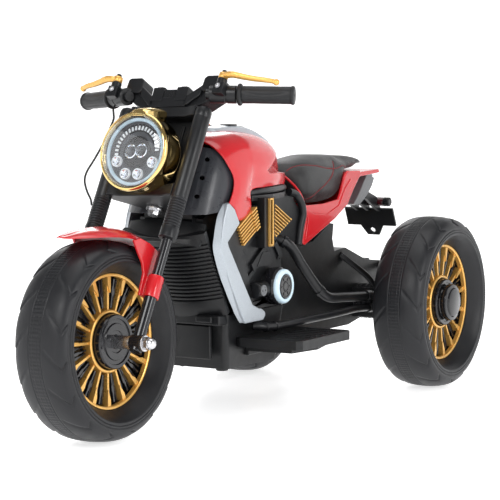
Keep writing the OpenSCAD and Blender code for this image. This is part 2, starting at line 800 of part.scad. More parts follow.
pipe_r = 8.5;
upper_pipe = [[69, 34, 279], [80, 42, 273], [88, 54, 262], [89, 84, 234], [91, 118, 204],
    [93, 146, 182], [96, 172, 170], [98, 220, 166], [98, 280, 162], [98, 345, 158]];
lower_pipe = [[84, -66, 145.5], [93, -58, 144.5], [99, -46, 142.5], [101, -10, 141],
    [101, 80, 141], [101, 180, 141], [101, 270, 142], [100, 345, 136]];

module exhaust_form() {
    swept_tube(refine(upper_pipe, 2), pipe_r, 16);
    swept_tube(refine(lower_pipe, 2), 6.5, 16);
}

module exhaust_left() color("#1b1c1e") exhaust_form();
module exhaust_right() color("#1b1c1e") mirror([1, 0, 0]) exhaust_form();

// ---------------------------------------------------------------- seat and tail

seat_rows = [
    [142, 22, 368, 376, 385, 2.2], [152, 46, 346, 364, 392, 2.4], [168, 58, 331, 352, 399, 2.6],
    [210, 60.5, 326, 350, 405, 2.6], [258, 59.5, 328, 354, 406, 2.6], [290, 53, 346, 366, 405, 2.5],
    [322, 44, 374, 384, 403, 2.4], [380, 36, 384, 391, 400, 2.3], [430, 27, 383, 388, 394, 2.2],
    [453, 12, 380, 383, 387, 2]];

module seat_pad() color("#2a2b2d") hull_form(seat_rows, 0, 2, 28);

module seat_cowl()
    color("#d8232a") {
        pair() side_plate([[136, 330], [146, 301], [140, 287], [134, 263], [142, 258], [197, 278],
            [259, 299], [296, 314], [330, 358], [350, 372], [338, 376], [290, 342], [262, 322],
            [200, 319], [160, 323]], 61.5, 67);
        translate([-62, 146, 318]) cube([124, 130, 4]);
        side_plate([[288, 322], [292, 316], [300, 320], [352, 368], [422, 372], [430, 373],
            [427, 379], [348, 376]], -62, 62);
    }

module tail_cover()
    color("#5a5d61")
    for (i = [0 : 2])
        side_plate([[434 + 12 * i, 376 - 6 * i], [446 + 12 * i, 373 - 6 * i],
            [418 + 13 * i, 340 - 4 * i], [388 + 12 * i, 314], [374 + 12 * i, 317],
            [403 + 12 * i, 342 - 3 * i]], -36 + 3 * i, 36 - 3 * i);

light_pos = [500, 315];

module tail_light()
    color("#2b1416")
    translate([0, light_pos[0], light_pos[1]])
    x_bar(-47, 47, 8.5);

plate_top = [505, 304];  // top edge of the plate, [y, z]
plate_lean = 25;

module plate_bracket()
    color("#161719") {
        difference() {
            translate([0, plate_top[0], plate_top[1]])
            rotate([plate_lean, 0, 0]) {
                translate([-50, -2, -38]) cube([100, 4, 36]);
                plate_tab();
            }
            translate([0, plate_top[0], plate_top[1]])
            rotate([plate_lean, 0, 0])
            translate([0, 0, -48])
            rotate([90, 0, 0])
            cylinder(h = 20, r = 5, center = true);
        }
        for (x = [-22, 0, 22])
            difference() {
                side_plate([[448, 333], [456, 335], [490, 324], [504, 306], [506, 297], [500, 297],
                    [484, 304], [446, 324]], x - 3, x + 3);
                translate([0, light_pos[0], light_pos[1]]) x_bar(x - 4, x + 4, 8.8);
            }
    }

module plate_tab()
    translate([0, 2, 0])
    rotate([90, 0, 0])
    linear_extrude(4)
    polygon([[-24, -37], [24, -37], [12, -58], [-12, -58]]);

// ---------------------------------------------------------------- rear drive

module rear_housing()
    color("#202123") difference() {
        union() {
            side_plate([[118.4, 138], [130.4, 200], [142.4, 255.5], [196, 262], [258, 290], [272, 288],
                [268, 262], [276, 240], [317, 243], [350, 232], [397, 216], [455, 210], [486, 197],
                [470, 176], [430, 160], [420, 120], [330, 104], [200, 104], [119, 112]], -50, 50);
            for (x = [-1, 1]) {
                translate([min(x * 48, x * 110), axle_y - 26, 118]) cube([62, 52, 52]);
                translate([0, axle_y, 144]) x_bar(min(x * 60, x * 68), max(x * 60, x * 68), 31);
                translate([0, axle_y, 144]) x_bar(min(x * 80, x * 88), max(x * 80, x * 88), 31);
            }
        }
        translate([0, axle_y, wheel_r]) x_bar(-120, 120, axle_r + fit);
        side_plate([[132, 122], [150, 242], [200, 252], [262, 280], [262, 258], [272, 232],
            [317, 235], [350, 224], [397, 208], [455, 201], [472, 194], [460, 182], [422, 168],
            [412, 127], [330, 112], [200, 112]], -47, 47);
    }

module rear_axle()
    color("silver")
    translate([0, axle_y, wheel_r]) {
        x_bar(-half_track - 42, half_track + 42, axle_r);
        pair() translate([half_track + 34.6, 0, 0]) rotate([0, 90, 0]) cylinder(h = 6, r = 10, $fn = 6);
    }

module gearbox_form()
    difference() {
        union() {
            translate([110.4, axle_y - 38, 112]) cube([44, 76, 76]);
            translate([132, axle_y - 38, 150]) rotate([90, 0, 0]) cylinder(h = 34, r = 17);
        }
        translate([0, axle_y, wheel_r]) x_bar(100, 160, axle_r + fit);
    }

module gearbox_left() color("#2e3033") gearbox_form();
module gearbox_right() color("#2e3033") mirror([1, 0, 0]) gearbox_form();

socket_pos = [-61, 96, 300];
socket_r = 3;

module charge_socket()
    color("#101112")
    translate(socket_pos)
    difference() {
        union() {
            x_bar(0, 22, 9);
            x_bar(0, 3, 12);
        }
        x_bar(-1, 14, socket_r);
    }

// ---------------------------------------------------------------- nodes

body_left();
body_right();
head_tube();
front_panel();
belly_tray();
battery();
control_box();
tank_cover();
fairing_left();
fairing_right();
console();
scoop_left();
scoop_right();
strake_left();
strake_right();
engine_fins_left();
engine_fins_right();
light_ring_left();
light_ring_right();
footboard_left();
footboard_right();
exhaust_left();
exhaust_right();
seat_cowl();
seat_pad();
tail_cover();
tail_light();
plate_bracket();
rear_housing();
rear_axle();
gearbox_left();
gearbox_right();
charge_socket();
foot_pedal();
power_button();
direction_switch();
steering_column();
fork_yokes();
fork_left();
fork_right();
handlebar();
grip_left();
grip_right();
lamp_housing();
lamp_face();
lamp_lens();
front_fender();
front_axle();
axle_nuts();
brake_cable();
lever_left();
lever_right();
front_tyre();
front_rim();
rear_tyre_left();
rear_rim_left();
rear_cap_left();
rear_tyre_right();
rear_rim_right();
rear_cap_right();
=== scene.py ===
"""A child's battery ride-on trike in a cruiser style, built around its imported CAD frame."""
import json
import math

import bmesh
import bpy
import numpy as np
from mathutils import Matrix, Vector


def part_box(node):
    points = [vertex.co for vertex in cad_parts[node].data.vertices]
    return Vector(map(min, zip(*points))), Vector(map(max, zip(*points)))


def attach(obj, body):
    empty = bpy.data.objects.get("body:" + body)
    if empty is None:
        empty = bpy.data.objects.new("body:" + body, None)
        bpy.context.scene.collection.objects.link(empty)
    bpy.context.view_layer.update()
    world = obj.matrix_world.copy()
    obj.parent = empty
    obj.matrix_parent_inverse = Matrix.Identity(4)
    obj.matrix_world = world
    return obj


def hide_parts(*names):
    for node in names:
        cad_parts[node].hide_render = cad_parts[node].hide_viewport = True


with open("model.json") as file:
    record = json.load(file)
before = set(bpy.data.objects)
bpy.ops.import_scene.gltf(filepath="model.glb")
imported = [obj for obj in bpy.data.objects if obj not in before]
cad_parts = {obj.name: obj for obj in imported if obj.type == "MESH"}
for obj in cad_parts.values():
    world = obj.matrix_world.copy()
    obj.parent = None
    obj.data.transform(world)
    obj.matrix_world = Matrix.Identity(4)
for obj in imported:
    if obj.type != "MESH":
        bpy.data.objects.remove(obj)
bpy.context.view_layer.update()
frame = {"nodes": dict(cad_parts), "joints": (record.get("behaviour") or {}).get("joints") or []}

MM = 0.001              # outlines below are in millimetres
SIDES = ((1, "left"), (-1, "right"))
JOINTS = {j["name"]: j for j in frame["joints"]}


# ------------------------------------------------------------------ places

def axes_at(origin, x, y, z):
    """A place: millimetres along three axes from an origin in metres."""
    place = Matrix.Identity(4)
    for column, axis in enumerate((x, y, z)):
        for row in range(3):
            place[row][column] = axis[row] * MM
    for row in range(3):
        place[row][3] = origin[row]
    return place


ROW = Matrix.Scale(MM, 4)
STEER_AXIS = Vector(JOINTS["steer"]["axis"]).normalized()
STEER_BACK = 40         # from the fork legs back to the steering axis
WHEEL_AXIS = Vector(JOINTS["front_spin"]["axis"]).normalized()

# the fork's own frame: origin on the front axle, y back across the legs, z up along them
FORK = axes_at(JOINTS["front_spin"]["pos_m"], WHEEL_AXIS, STEER_AXIS.cross(WHEEL_AXIS),
               STEER_AXIS)
# the headlamp's frame: z out of the lens
LAMP_POS = (0, -48, 292)
LAMP_TURN = 90 + 28.8 - 14
LAMP = FORK @ Matrix.Translation(LAMP_POS) @ Matrix.Rotation(math.radians(LAMP_TURN), 4, "X")


def mirrored(place, side):
    return place @ Matrix.Diagonal((side, 1, 1, 1))


def at(*point):
    return Matrix.Translation(point)


def turned(degrees, axis):
    return Matrix.Rotation(math.radians(degrees), 4, axis)


# ------------------------------------------------------------------ shapes: (points, faces)

def joined(*shapes):
    """Several shapes as one."""
    points, faces = [], []
    for shape_points, shape_faces in shapes:
        start = len(points)
        points += [tuple(p) for p in shape_points]
        faces += [tuple(i + start for i in f) for f in shape_faces]
    return points, faces


def moved(shape, matrix):
    """The shape carried by a matrix in its own units."""
    points, faces = shape
    if matrix.determinant() < 0:
        faces = [f[::-1] for f in faces]
    return [tuple(matrix @ Vector(p)) for p in points], faces


def spline(keys, steps):
    """Catmull-Rom points through the keys, "steps" for each span."""
    keys = [np.array(k, float) for k in keys]
    out = []
    for i in range(len(keys) - 1):
        a, b, c, d = keys[max(i - 1, 0)], keys[i], keys[i + 1], keys[min(i + 2, len(keys) - 1)]
        for k in range(steps):
            f = k / steps
            out.append(b + 0.5 * f * ((c - a) + f * ((2 * a - 5 * b + 4 * c - d)
                                                     + f * (3 * (b - c) + d - a))))
    out.append(keys[-1])
    return out


def grid_faces(rows, columns, wrap_rows=False, wrap_columns=True):
    """Quads over rows of points."""
    faces = []
    for i in range(rows if wrap_rows else rows - 1):
        for k in range(columns if wrap_columns else columns - 1):
            j, m = (i + 1) % rows, (k + 1) % columns
            faces.append((i * columns + k, i * columns + m, j * columns + m, j * columns + k))
    return faces


def lathe(profile, segments=96, closed=False):
    """(radius, x) points turned about the x axis."""
    turns = [2 * math.pi * k / segments for k in range(segments)]
    points = [(x, r * math.cos(a), r * math.sin(a)) for r, x in profile for a in turns]
    return points, grid_faces(len(profile), segments, wrap_rows=closed)


def lathe_z(profile, segments=96, closed=False):
    """(radius, z) points turned about the z axis."""
    turns = [2 * math.pi * k / segments for k in range(segments)]
    points = [(r * math.cos(a), r * math.sin(a), z) for r, z in profile for a in turns]
    return points, grid_faces(len(profile), segments, wrap_rows=closed)


def plate(outline, x0, x1):
    """A side outline of (y, z) points, extruded from x0 to x1."""
    n = len(outline)
    points = [(x, y, z) for x in (x0, x1) for y, z in outline]
    faces = [(k, (k + 1) % n, n + (k + 1) % n, n + k) for k in range(n)]
    return points, faces + [tuple(range(n))[::-1], tuple(range(n, 2 * n))]


def deck(outline, z0, z1):
    """A plan outline of (x, y) points, extruded from z0 to z1."""
    n = len(outline)
    points = [(x, y, z) for z in (z0, z1) for x, y in outline]
    faces = [(k, (k + 1) % n, n + (k + 1) % n, n + k) for k in range(n)]
    return points, faces + [tuple(range(n))[::-1], tuple(range(n, 2 * n))]


def block(low, high):
    (x0, y0, z0), (x1, y1, z1) = low, high
    return plate([(y0, z0), (y1, z0), (y1, z1), (y0, z1)], x0, x1)


def loft(rings):
    """A skin over rings of equal point counts, closed at both ends."""
    n = len(rings[0])
    points = [tuple(p) for ring in rings for p in ring]
    last = (len(rings) - 1) * n
    ends = [tuple(range(n))[::-1], tuple(range(last, last + n))]
    return points, grid_faces(len(rings), n) + ends


def tube(route, radius, sides=20, steps=6, flat=1.0):
    """A round or flattened bar along a smooth route. radius is a number or one for each key."""
    radii = [radius] * len(route) if isinstance(radius, (int, float)) else radius
    rows = spline([tuple(p) + (r,) for p, r in zip(route, radii)], steps)
    path = [Vector(row[:3]) for row in rows]
    side = None
    rings = []
    for i, centre in enumerate(path):
        along = (path[min(i + 1, len(path) - 1)] - path[max(i - 1, 0)]).normalized()
        if side is None:
            seed = Vector((0, 0, 1)) if abs(along.z) < 0.9 else Vector((1, 0, 0))
            side = along.cross(seed).normalized()
        side = (side - along * side.dot(along)).normalized()
        up = along.cross(side)
        r = rows[i][3]
        rings.append([centre + float(r) * (math.cos(a) * side + flat * math.sin(a) * up)
                      for a in (2 * math.pi * k / sides for k in range(sides))])
    return loft(rings)


def ball(centre, r):
    profile = [(r * math.sin(a), r * math.cos(a)) for a in (math.pi * k / 12 for k in range(13))]
    return moved(lathe_z(profile, 24), at(*centre))


def bolt(centre, axis, r=4.5, h=3.0):
    """A hexagon head on a washer, with its top towards axis."""
    turn = Vector((0, 0, 1)).rotation_difference(Vector(axis)).to_matrix().to_4x4()
    washer = lathe_z([(0, 0), (r * 1.45, 0), (r * 1.45, 0.9), (0, 0.9)], 32)
    corners = [(r * math.cos(math.radians(60 * k)), r * math.sin(math.radians(60 * k)))
               for k in range(6)]
    dome = lathe_z([(0, h + 0.9), (r * 0.55, h + 0.7), (r * 0.8, h + 0.1), (r * 0.8, h - 0.5)], 24)
    return moved(joined(washer, deck(corners, 0.9, h), dome), at(*centre) @ turn)


def build(name, shape, material, body, place=ROW, smooth=32, bevel=0.0, shell=0.0,
          stands_for=()):
    """Makes a piece from a shape in millimetres and lets it ride on a body."""
    points, faces = shape
    mesh = bpy.data.meshes.new(name)
    mesh.from_pydata([place @ Vector(p) for p in points], [], faces)
    work = bmesh.new()
    work.from_mesh(mesh)
    bmesh.ops.remove_doubles(work, verts=work.verts, dist=0.02 * MM)
    bmesh.ops.dissolve_degenerate(work, edges=work.edges, dist=0.01 * MM)
    bmesh.ops.recalc_face_normals(work, faces=work.faces)
    work.to_mesh(mesh)
    work.free()
    mesh.shade_smooth()
    piece = bpy.data.objects.new(name, mesh)
    bpy.context.scene.collection.objects.link(piece)
    mesh.materials.append(material)
    if shell:
        thick = piece.modifiers.new("shell", "SOLIDIFY")
        thick.thickness = shell * MM
        thick.offset = -1
    if bevel:
        rounding = piece.modifiers.new("rounded_edges", "BEVEL")
        rounding.width = bevel * MM
        rounding.segments = 3
        rounding.limit_method = "ANGLE"
        rounding.angle_limit = math.radians(smooth)
        rounding.harden_normals = True
    else:
        mesh.set_sharp_from_angle(angle=math.radians(smooth))
    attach(piece, body)
    if stands_for:
        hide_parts(*stands_for)
    return piece


def dress(node, material, bevel=0.0):
    """Gives a CAD node that keeps its own shape its material, and rounds its edges."""
    obj = frame["nodes"][node]
    obj.data.materials.clear()
    obj.data.materials.append(material)
    weld = obj.modifiers.new("weld", "WELD")
    weld.merge_threshold = 0.01 * MM
    if bevel:
        rounding = obj.modifiers.new("rounded_edges", "BEVEL")
        rounding.width = bevel * MM
        rounding.segments = 2
        rounding.limit_method = "ANGLE"
        rounding.angle_limit = math.radians(30)
    return obj


# ------------------------------------------------------------------ materials

def new_material(name):
    material = bpy.data.materials.new(name)
    material.use_nodes = True
    nodes = material.node_tree.nodes
    return material, nodes, material.node_tree.links, nodes["Principled BSDF"]


def noise(nodes, links, scale, detail=4.0, rough=0.55, stretch=None):
    """A noise texture in the object's own metres."""
    place = nodes.new("ShaderNodeTexCoord")
    texture = nodes.new("ShaderNodeTexNoise")
    texture.inputs["Scale"].default_value = scale
    texture.inputs["Detail"].default_value = detail
    texture.inputs["Roughness"].default_value = rough
    source = place.outputs["Object"]
    if stretch:
        mapping = nodes.new("ShaderNodeMapping")
        mapping.inputs["Scale"].default_value = stretch
        links.new(source, mapping.inputs["Vector"])
        source = mapping.outputs["Vector"]
    links.new(source, texture.inputs["Vector"])
    return texture


def spread(nodes, links, source, low, high, low_in=0.3, high_in=0.7):
    """Maps a 0 to 1 value to the range low to high."""
    remap = nodes.new("ShaderNodeMapRange")
    remap.inputs["From Min"].default_value = low_in
    remap.inputs["From Max"].default_value = high_in
    remap.inputs["To Min"].default_value = low
    remap.inputs["To Max"].default_value = high
    links.new(source, remap.inputs["Value"])
    return remap.outputs["Result"]


def mix_colours(links, nodes, factor, low, high):
    """A colour between low and high; low may be another node's output."""
    mix = nodes.new("ShaderNodeMix")
    mix.data_type = "RGBA"
    if isinstance(low, bpy.types.NodeSocket):
        links.new(low, mix.inputs[6])
    else:
        mix.inputs[6].default_value = (*low, 1)
    mix.inputs[7].default_value = (*high, 1)
    links.new(factor, mix.inputs["Factor"])
    return mix.outputs[2]


def shade(colour, by):
    return [min(1, c * by) for c in colour]


def moulded(name, colour, rough, metal=0.0, coat=0.0, mottle=0.10, grain=0.0, grain_scale=1600,
            rough_spread=0.06, scuff=0.0, emit=0.0):
    """A moulded surface: mottled colour, uneven gloss, a fine grain and pale scuffs."""
    material, nodes, links, shader = new_material(name)
    broad = noise(nodes, links, 14, 5)
    result = mix_colours(links, nodes, spread(nodes, links, broad.outputs["Fac"], 0, 1),
                         shade(colour, 1 - mottle), shade(colour, 1 + mottle))
    if scuff:
        marks = noise(nodes, links, 90, 8, 0.75, stretch=(1, 1, 4))
        worn = spread(nodes, links, marks.outputs["Fac"], 0, scuff, 0.6, 0.72)
        result = mix_colours(links, nodes, worn, result, [c * 1.6 + 0.012 for c in colour])
    links.new(result, shader.inputs["Base Color"])
    patches = noise(nodes, links, 60, 6, 0.65)
    links.new(spread(nodes, links, patches.outputs["Fac"], max(0.02, rough - rough_spread),
                     rough + rough_spread), shader.inputs["Roughness"])
    shader.inputs["Metallic"].default_value = metal
    shader.inputs["Coat Weight"].default_value = coat
    if max(colour) < 0.05:
        shader.inputs["Specular IOR Level"].default_value = 0.36
    shader.inputs["Coat Roughness"].default_value = 0.06
    if emit:
        shader.inputs["Emission Color"].default_value = (*colour, 1)
        shader.inputs["Emission Strength"].default_value = emit
    if grain:
        fine = noise(nodes, links, grain_scale, 3, 0.6)
        bump = nodes.new("ShaderNodeBump")
        bump.inputs["Strength"].default_value = grain
        bump.inputs["Distance"].default_value = 0.15 * MM
        links.new(fine.outputs["Fac"], bump.inputs["Height"])
        links.new(bump.outputs["Normal"], shader.inputs["Normal"])
    return material


def flecked(name, colour, rough):
    """Silver-grey plastic with a metallic fleck."""
    material, nodes, links, shader = new_material(name)
    place = nodes.new("ShaderNodeTexCoord")
    cells = nodes.new("ShaderNodeTexVoronoi")
    cells.inputs["Scale"].default_value = 2200
    links.new(place.outputs["Object"], cells.inputs["Vector"])
    split = nodes.new("ShaderNodeSeparateColor")
    links.new(cells.outputs["Color"], split.inputs["Color"])
    links.new(mix_colours(links, nodes, split.outputs["Red"], shade(colour, 0.88),
                          shade(colour, 1.12)), shader.inputs["Base Color"])
    patches = noise(nodes, links, 40, 5)
    links.new(spread(nodes, links, patches.outputs["Fac"], rough - 0.05, rough + 0.05),
              shader.inputs["Roughness"])
    shader.inputs["Metallic"].default_value = 0.35
    shader.inputs["Coat Weight"].default_value = 0.25
    return material


def vinyl(name, colour):
    """Soft black vinyl: a pebbled grain of small cells, with painted shade in the cells' creases.
    """
    material, nodes, links, shader = new_material(name)
    place = nodes.new("ShaderNodeTexCoord")
    cells = nodes.new("ShaderNodeTexVoronoi")
    cells.feature = "DISTANCE_TO_EDGE"
    cells.inputs["Scale"].default_value = 750
    wobble = noise(nodes, links, 500, 3)
    warp = nodes.new("ShaderNodeMix")
    warp.data_type = "VECTOR"
    warp.inputs["Factor"].default_value = 0.001
    links.new(place.outputs["Object"], warp.inputs[4])
    links.new(wobble.outputs["Color"], warp.inputs[5])
    links.new(warp.outputs[1], cells.inputs["Vector"])
    creases = spread(nodes, links, cells.outputs["Distance"], 0, 1, 0.0, 0.25)
    bump = nodes.new("ShaderNodeBump")
    bump.inputs["Strength"].default_value = 0.35
    bump.inputs["Distance"].default_value = 0.25 * MM
    links.new(creases, bump.inputs["Height"])
    links.new(bump.outputs["Normal"], shader.inputs["Normal"])
    # painted shade: the base colour is darkened to 0.6 in the grain's creases, on top of the bump
    links.new(mix_colours(links, nodes, creases, shade(colour, 0.6), colour),
              shader.inputs["Base Color"])
    patches = noise(nodes, links, 25, 5)
    links.new(spread(nodes, links, patches.outputs["Fac"], 0.44, 0.56), shader.inputs["Roughness"])
    shader.inputs["Sheen Weight"].default_value = 0.15
    return material


def brushed(name, colour, rough):
    """Bright zinc-plated steel with fine turning marks."""
    material, nodes, links, shader = new_material(name)
    marks = noise(nodes, links, 300, 6, 0.7, stretch=(8, 1, 1))
    links.new(mix_colours(links, nodes, marks.outputs["Fac"], shade(colour, 0.8), colour),
              shader.inputs["Base Color"])
    links.new(spread(nodes, links, marks.outputs["Fac"], rough - 0.07, rough + 0.1),
              shader.inputs["Roughness"])
    shader.inputs["Metallic"].default_value = 1.0
    return material


def clear(name, tint, rough=0.02):
    """Clear moulded plastic with the faintest waviness."""
    material, nodes, links, shader = new_material(name)
    shader.inputs["Base Color"].default_value = (*tint, 1)
    shader.inputs["Transmission Weight"].default_value = 1.0
    shader.inputs["IOR"].default_value = 1.38
    shader.inputs["Coat Weight"].default_value = 0.5
    waves = noise(nodes, links, 20, 2)
    links.new(spread(nodes, links, waves.outputs["Fac"], rough * 0.5, rough * 1.5),
              shader.inputs["Roughness"])
    return material


RED = moulded("red_gloss", (0.56, 0.012, 0.018), 0.20, coat=0.35, mottle=0.04, rough_spread=0.04)
BLACK = moulded("black_moulded", (0.0065, 0.007, 0.008), 0.40, mottle=0.2, grain=0.25, scuff=0.10)
SATIN = moulded("black_satin", (0.0085, 0.009, 0.0105), 0.34, mottle=0.15, grain=0.12, scuff=0.08)
GLOSS = moulded("black_gloss", (0.010, 0.010, 0.012), 0.14, coat=0.3, mottle=0.1, scuff=0.05)
TYRE = moulded("tyre_charcoal", (0.0095, 0.010, 0.012), 0.42, mottle=0.14, grain=0.4,
               grain_scale=1100, scuff=0.18)
RUBBER = moulded("grip_rubber", (0.009, 0.0095, 0.011), 0.48, mottle=0.12, grain=0.5, scuff=0.1)
GAITER = moulded("gaiter_charcoal", (0.010, 0.0105, 0.0125), 0.38, mottle=0.15, grain=0.2)
GOLD = moulded("gold_moulded", (0.78, 0.44, 0.11), 0.30, metal=0.55, coat=0.2, mottle=0.10,
               grain=0.08)
CHROME = moulded("gold_chrome", (0.83, 0.60, 0.24), 0.07, metal=1.0, mottle=0.03,
                 rough_spread=0.02)
SILVER = flecked("silver_fleck", (0.42, 0.46, 0.50), 0.34)
GREY = moulded("scoop_grey", (0.032, 0.034, 0.040), 0.30, mottle=0.12, coat=0.1, scuff=0.08)
LAYER_GREY = moulded("tail_grey", (0.15, 0.155, 0.165), 0.38, mottle=0.1)
HALO = moulded("halo_blue", (0.60, 0.76, 0.86), 0.28, coat=0.3, mottle=0.03, emit=0.10)
LED = moulded("led_white", (0.86, 0.88, 0.90), 0.25, mottle=0.03, emit=0.18)
REFLECTOR = moulded("reflector_bright", (0.80, 0.82, 0.86), 0.12, metal=1.0, mottle=0.06)
FACE = moulded("lamp_face_dark", (0.070, 0.075, 0.085), 0.32, mottle=0.15, coat=0.2)
LENS = clear("lens_clear", (0.97, 0.985, 1.0))
GLASSY = clear("projector_glass", (0.9, 0.93, 0.97), 0.05)
STEEL = brushed("zinc_steel", (0.70, 0.70, 0.72), 0.25)
ORANGE = moulded("orange_button", (0.80, 0.17, 0.03), 0.3, coat=0.2)
RED_LENS = moulded("tail_red", (0.05, 0.005, 0.008), 0.12, coat=0.4, mottle=0.2)
CASING = moulded("inner_casing", (0.11, 0.115, 0.12), 0.5, grain=0.3)
VINYL = vinyl("seat_vinyl", (0.008, 0.008, 0.009))
THREAD = moulded("red_thread", (0.26, 0.008, 0.014), 0.6, mottle=0.25, grain=0.6, grain_scale=3000)
SKIN = moulded("dark_inside", (0.012, 0.012, 0.013), 0.6, mottle=0.2, grain=0.3)


# ------------------------------------------------------------------ camera, floor and light

CAMERA_AT = Vector((1.6294, -2.6957, 0.5196))
CAMERA_AZIMUTH = 30.52      # from straight ahead of the front wheel, round to the rider's left
CAMERA_PITCH = 4.73         # looking down


def make_camera():
    a, e = math.radians(CAMERA_AZIMUTH), math.radians(CAMERA_PITCH)
    forward = Vector((-math.sin(a) * math.cos(e), math.cos(a) * math.cos(e), -math.sin(e)))
    data = bpy.data.cameras.new("camera")
    data.sensor_width = 36
    data.lens = 138.1
    data.clip_start, data.clip_end = 0.05, 50
    camera = bpy.data.objects.new("camera", data)
    camera.rotation_mode = "QUATERNION"
    camera.location = CAMERA_AT
    camera.rotation_quaternion = forward.to_track_quat("-Z", "Y")
    bpy.context.scene.collection.objects.link(camera)
    bpy.context.scene.camera = camera


FLOOR_GLOW = 0.66           # lifts the white studio floor and backdrop to plain white


def make_floor():
    """A pale sweep: flat under the trike, dished up far away so that no edge shows."""
    rings = [(0, 0), (2.0, 0), (5.0, 0), (8.0, 0.35), (11.0, 1.6), (13.0, 4.0), (14.0, 8.0)]
    turns = 64
    points = [(r * math.cos(2 * math.pi * k / turns), r * math.sin(2 * math.pi * k / turns), z)
              for r, z in rings for k in range(turns)]
    mesh = bpy.data.meshes.new("floor")
    mesh.from_pydata(points, [], grid_faces(len(rings), turns))
    mesh.shade_smooth()
    floor = bpy.data.objects.new("floor", mesh)
    bpy.context.scene.collection.objects.link(floor)
    material, nodes, links, shader = new_material("studio_white")
    shader.inputs["Base Color"].default_value = (0.88, 0.88, 0.885, 1)
    shade = noise(nodes, links, 3, 3)
    links.new(spread(nodes, links, shade.outputs["Fac"], 0.30, 0.36), shader.inputs["Roughness"])
    shader.inputs["Emission Color"].default_value = (1, 1, 1, 1)
    shader.inputs["Emission Strength"].default_value = FLOOR_GLOW
    mesh.materials.append(material)


def soft_light(name, place, target, size, watts):
    data = bpy.data.lights.new(name, "AREA")
    data.shape = "RECTANGLE"
    data.size, data.size_y = size
    data.energy = watts
    lamp = bpy.data.objects.new(name, data)
    lamp.location = place
    lamp.rotation_euler = (Vector(target) - Vector(place)).to_track_quat("-Z", "Y").to_euler()
    bpy.context.scene.collection.objects.link(lamp)


def make_light():
    world = bpy.data.worlds.new("studio")
    world.use_nodes = True
    sky = world.node_tree.nodes["Background"]
    sky.inputs["Color"].default_value = (1.0, 1.0, 1.0, 1)
    sky.inputs["Strength"].default_value = 0.24
    bpy.context.scene.world = world
    soft_light("key", (0.3, -3.2, 2.6), (0, -0.1, 0.25), (1.8, 1.2), 50)
    soft_light("left_strip", (3.2, -0.6, 1.5), (0, 0, 0.25), (0.7, 2.2), 36)
    soft_light("top", (0.0, 0.2, 3.2), (0, 0, 0), (2.4, 2.4), 36)
    soft_light("back", (-2.2, 2.6, 1.8), (0, 0, 0.3), (1.6, 1.2), 16)
    bpy.context.scene.view_settings.view_transform = "Standard"


make_camera()
make_floor()
make_light()


# ------------------------------------------------------------------ wheels

TREAD_BLOCKS = 16
BAND_RIBS = 160
TYRE_HALF = [(101.3, 20), (102, 24), (105, 29), (112, 40), (117.2, 46), (118.6, 48), (121, 48.5),
             (122.6, 48.4), (123.4, 47.5), (124.2, 48.4), (126.6, 48.3), (127.6, 47.2),
             (128.8, 47.9), (132, 47.3), (137, 45.2), (142, 41), (146, 33.5), (148.5, 23),
             (149.6, 12), (149.9, 5), (150, 0)]
CROWN_START = 13        # the TYRE_HALF point where the tread begins


def tread_depth(theta, across, side):
    """How deep the moulded tread is cut, in millimetres, at a turn and a distance off the band."""
    depth = np.zeros(np.broadcast(theta, across).shape)
    off = np.abs(across)
    ribs = (theta * BAND_RIBS / (2 * math.pi)) % 1 < 0.5
    band = (off < 4.0) | ((off > 5.6) & (off < 9.6))
    depth = np.where(ribs & band, 0.55, depth)
    depth = np.where((off > 4.2) & (off < 5.4), 0.4, depth)
    depth = np.where((off > 10.2) & (off < 11.6), 0.7, depth)
    run = np.clip((off - 12.5) / 40.0, 0, 1)
    lead = np.where(run < 0.78, 0.75 * run ** 1.15, 0.75 * 0.78 ** 1.15 - 1.1 * (run - 0.78))
    phase = theta * TREAD_BLOCKS / (2 * math.pi) - lead + (0.5 if side < 0 else 0.0)
    arc = ((phase + 0.5) % 1 - 0.5) * 2 * math.pi * 146 / TREAD_BLOCKS
    step = np.where(arc > 0, np.exp(-arc / 7.0), np.exp(arc / 0.5)) * 2.8
    lip = np.exp(-((arc - 5.0) / 1.1) ** 2) * 1.1
    fade = np.clip(run / 0.12, 0, 1) * np.clip((1.0 - run) / 0.06, 0, 1)
    return np.where(off > 12.5, (step + lip) * fade * (0.35 + 0.65 * run), depth)


TYRE_SEGMENTS = 640     # fine enough round the tyre for the tread blocks


def tyre_shape():
    half = spline(TYRE_HALF[:CROWN_START], 2) + spline(TYRE_HALF[CROWN_START:], 7)
    outer = [(r, x) for r, x in half] + [(r, -x) for r, x in half[::-1][1:]]
    outer = np.array(outer)
    slope = np.gradient(outer, axis=0)
    normal = np.stack([slope[:, 1], -slope[:, 0]], 1)
    normal /= np.linalg.norm(normal, axis=1)[:, None]
    normal *= np.where(normal[:, 0] < 0, -1, 1)[:, None]
    steps = np.linalg.norm(np.diff(outer, axis=0), axis=1)
    arc = np.concatenate([[0], np.cumsum(steps)])
    arc -= arc[len(arc) // 2]
    theta = 2 * math.pi * np.arange(TYRE_SEGMENTS) / TYRE_SEGMENTS
    points = []
    for i, (r, x) in enumerate(outer):
        depth = 0 * theta
        if r > 130.5:
            depth = tread_depth(theta, np.full(TYRE_SEGMENTS, arc[i]), x)
        rr, xx = r - depth * abs(normal[i, 0]), x - depth * math.copysign(abs(normal[i, 1]), x)
        points += [(xx[k] if depth.any() else x, rr[k] * math.cos(theta[k]),
                    rr[k] * math.sin(theta[k])) for k in range(TYRE_SEGMENTS)]
    inner = [(104, -19), (106, -23), (120, -41), (132, -42), (142, -30), (145.5, 0), (142, 30),
             (132, 42), (120, 41), (106, 23), (104, 19)]
    points += lathe(inner, TYRE_SEGMENTS)[0]
    return points, grid_faces(len(outer) + len(inner), TYRE_SEGMENTS, wrap_rows=True)


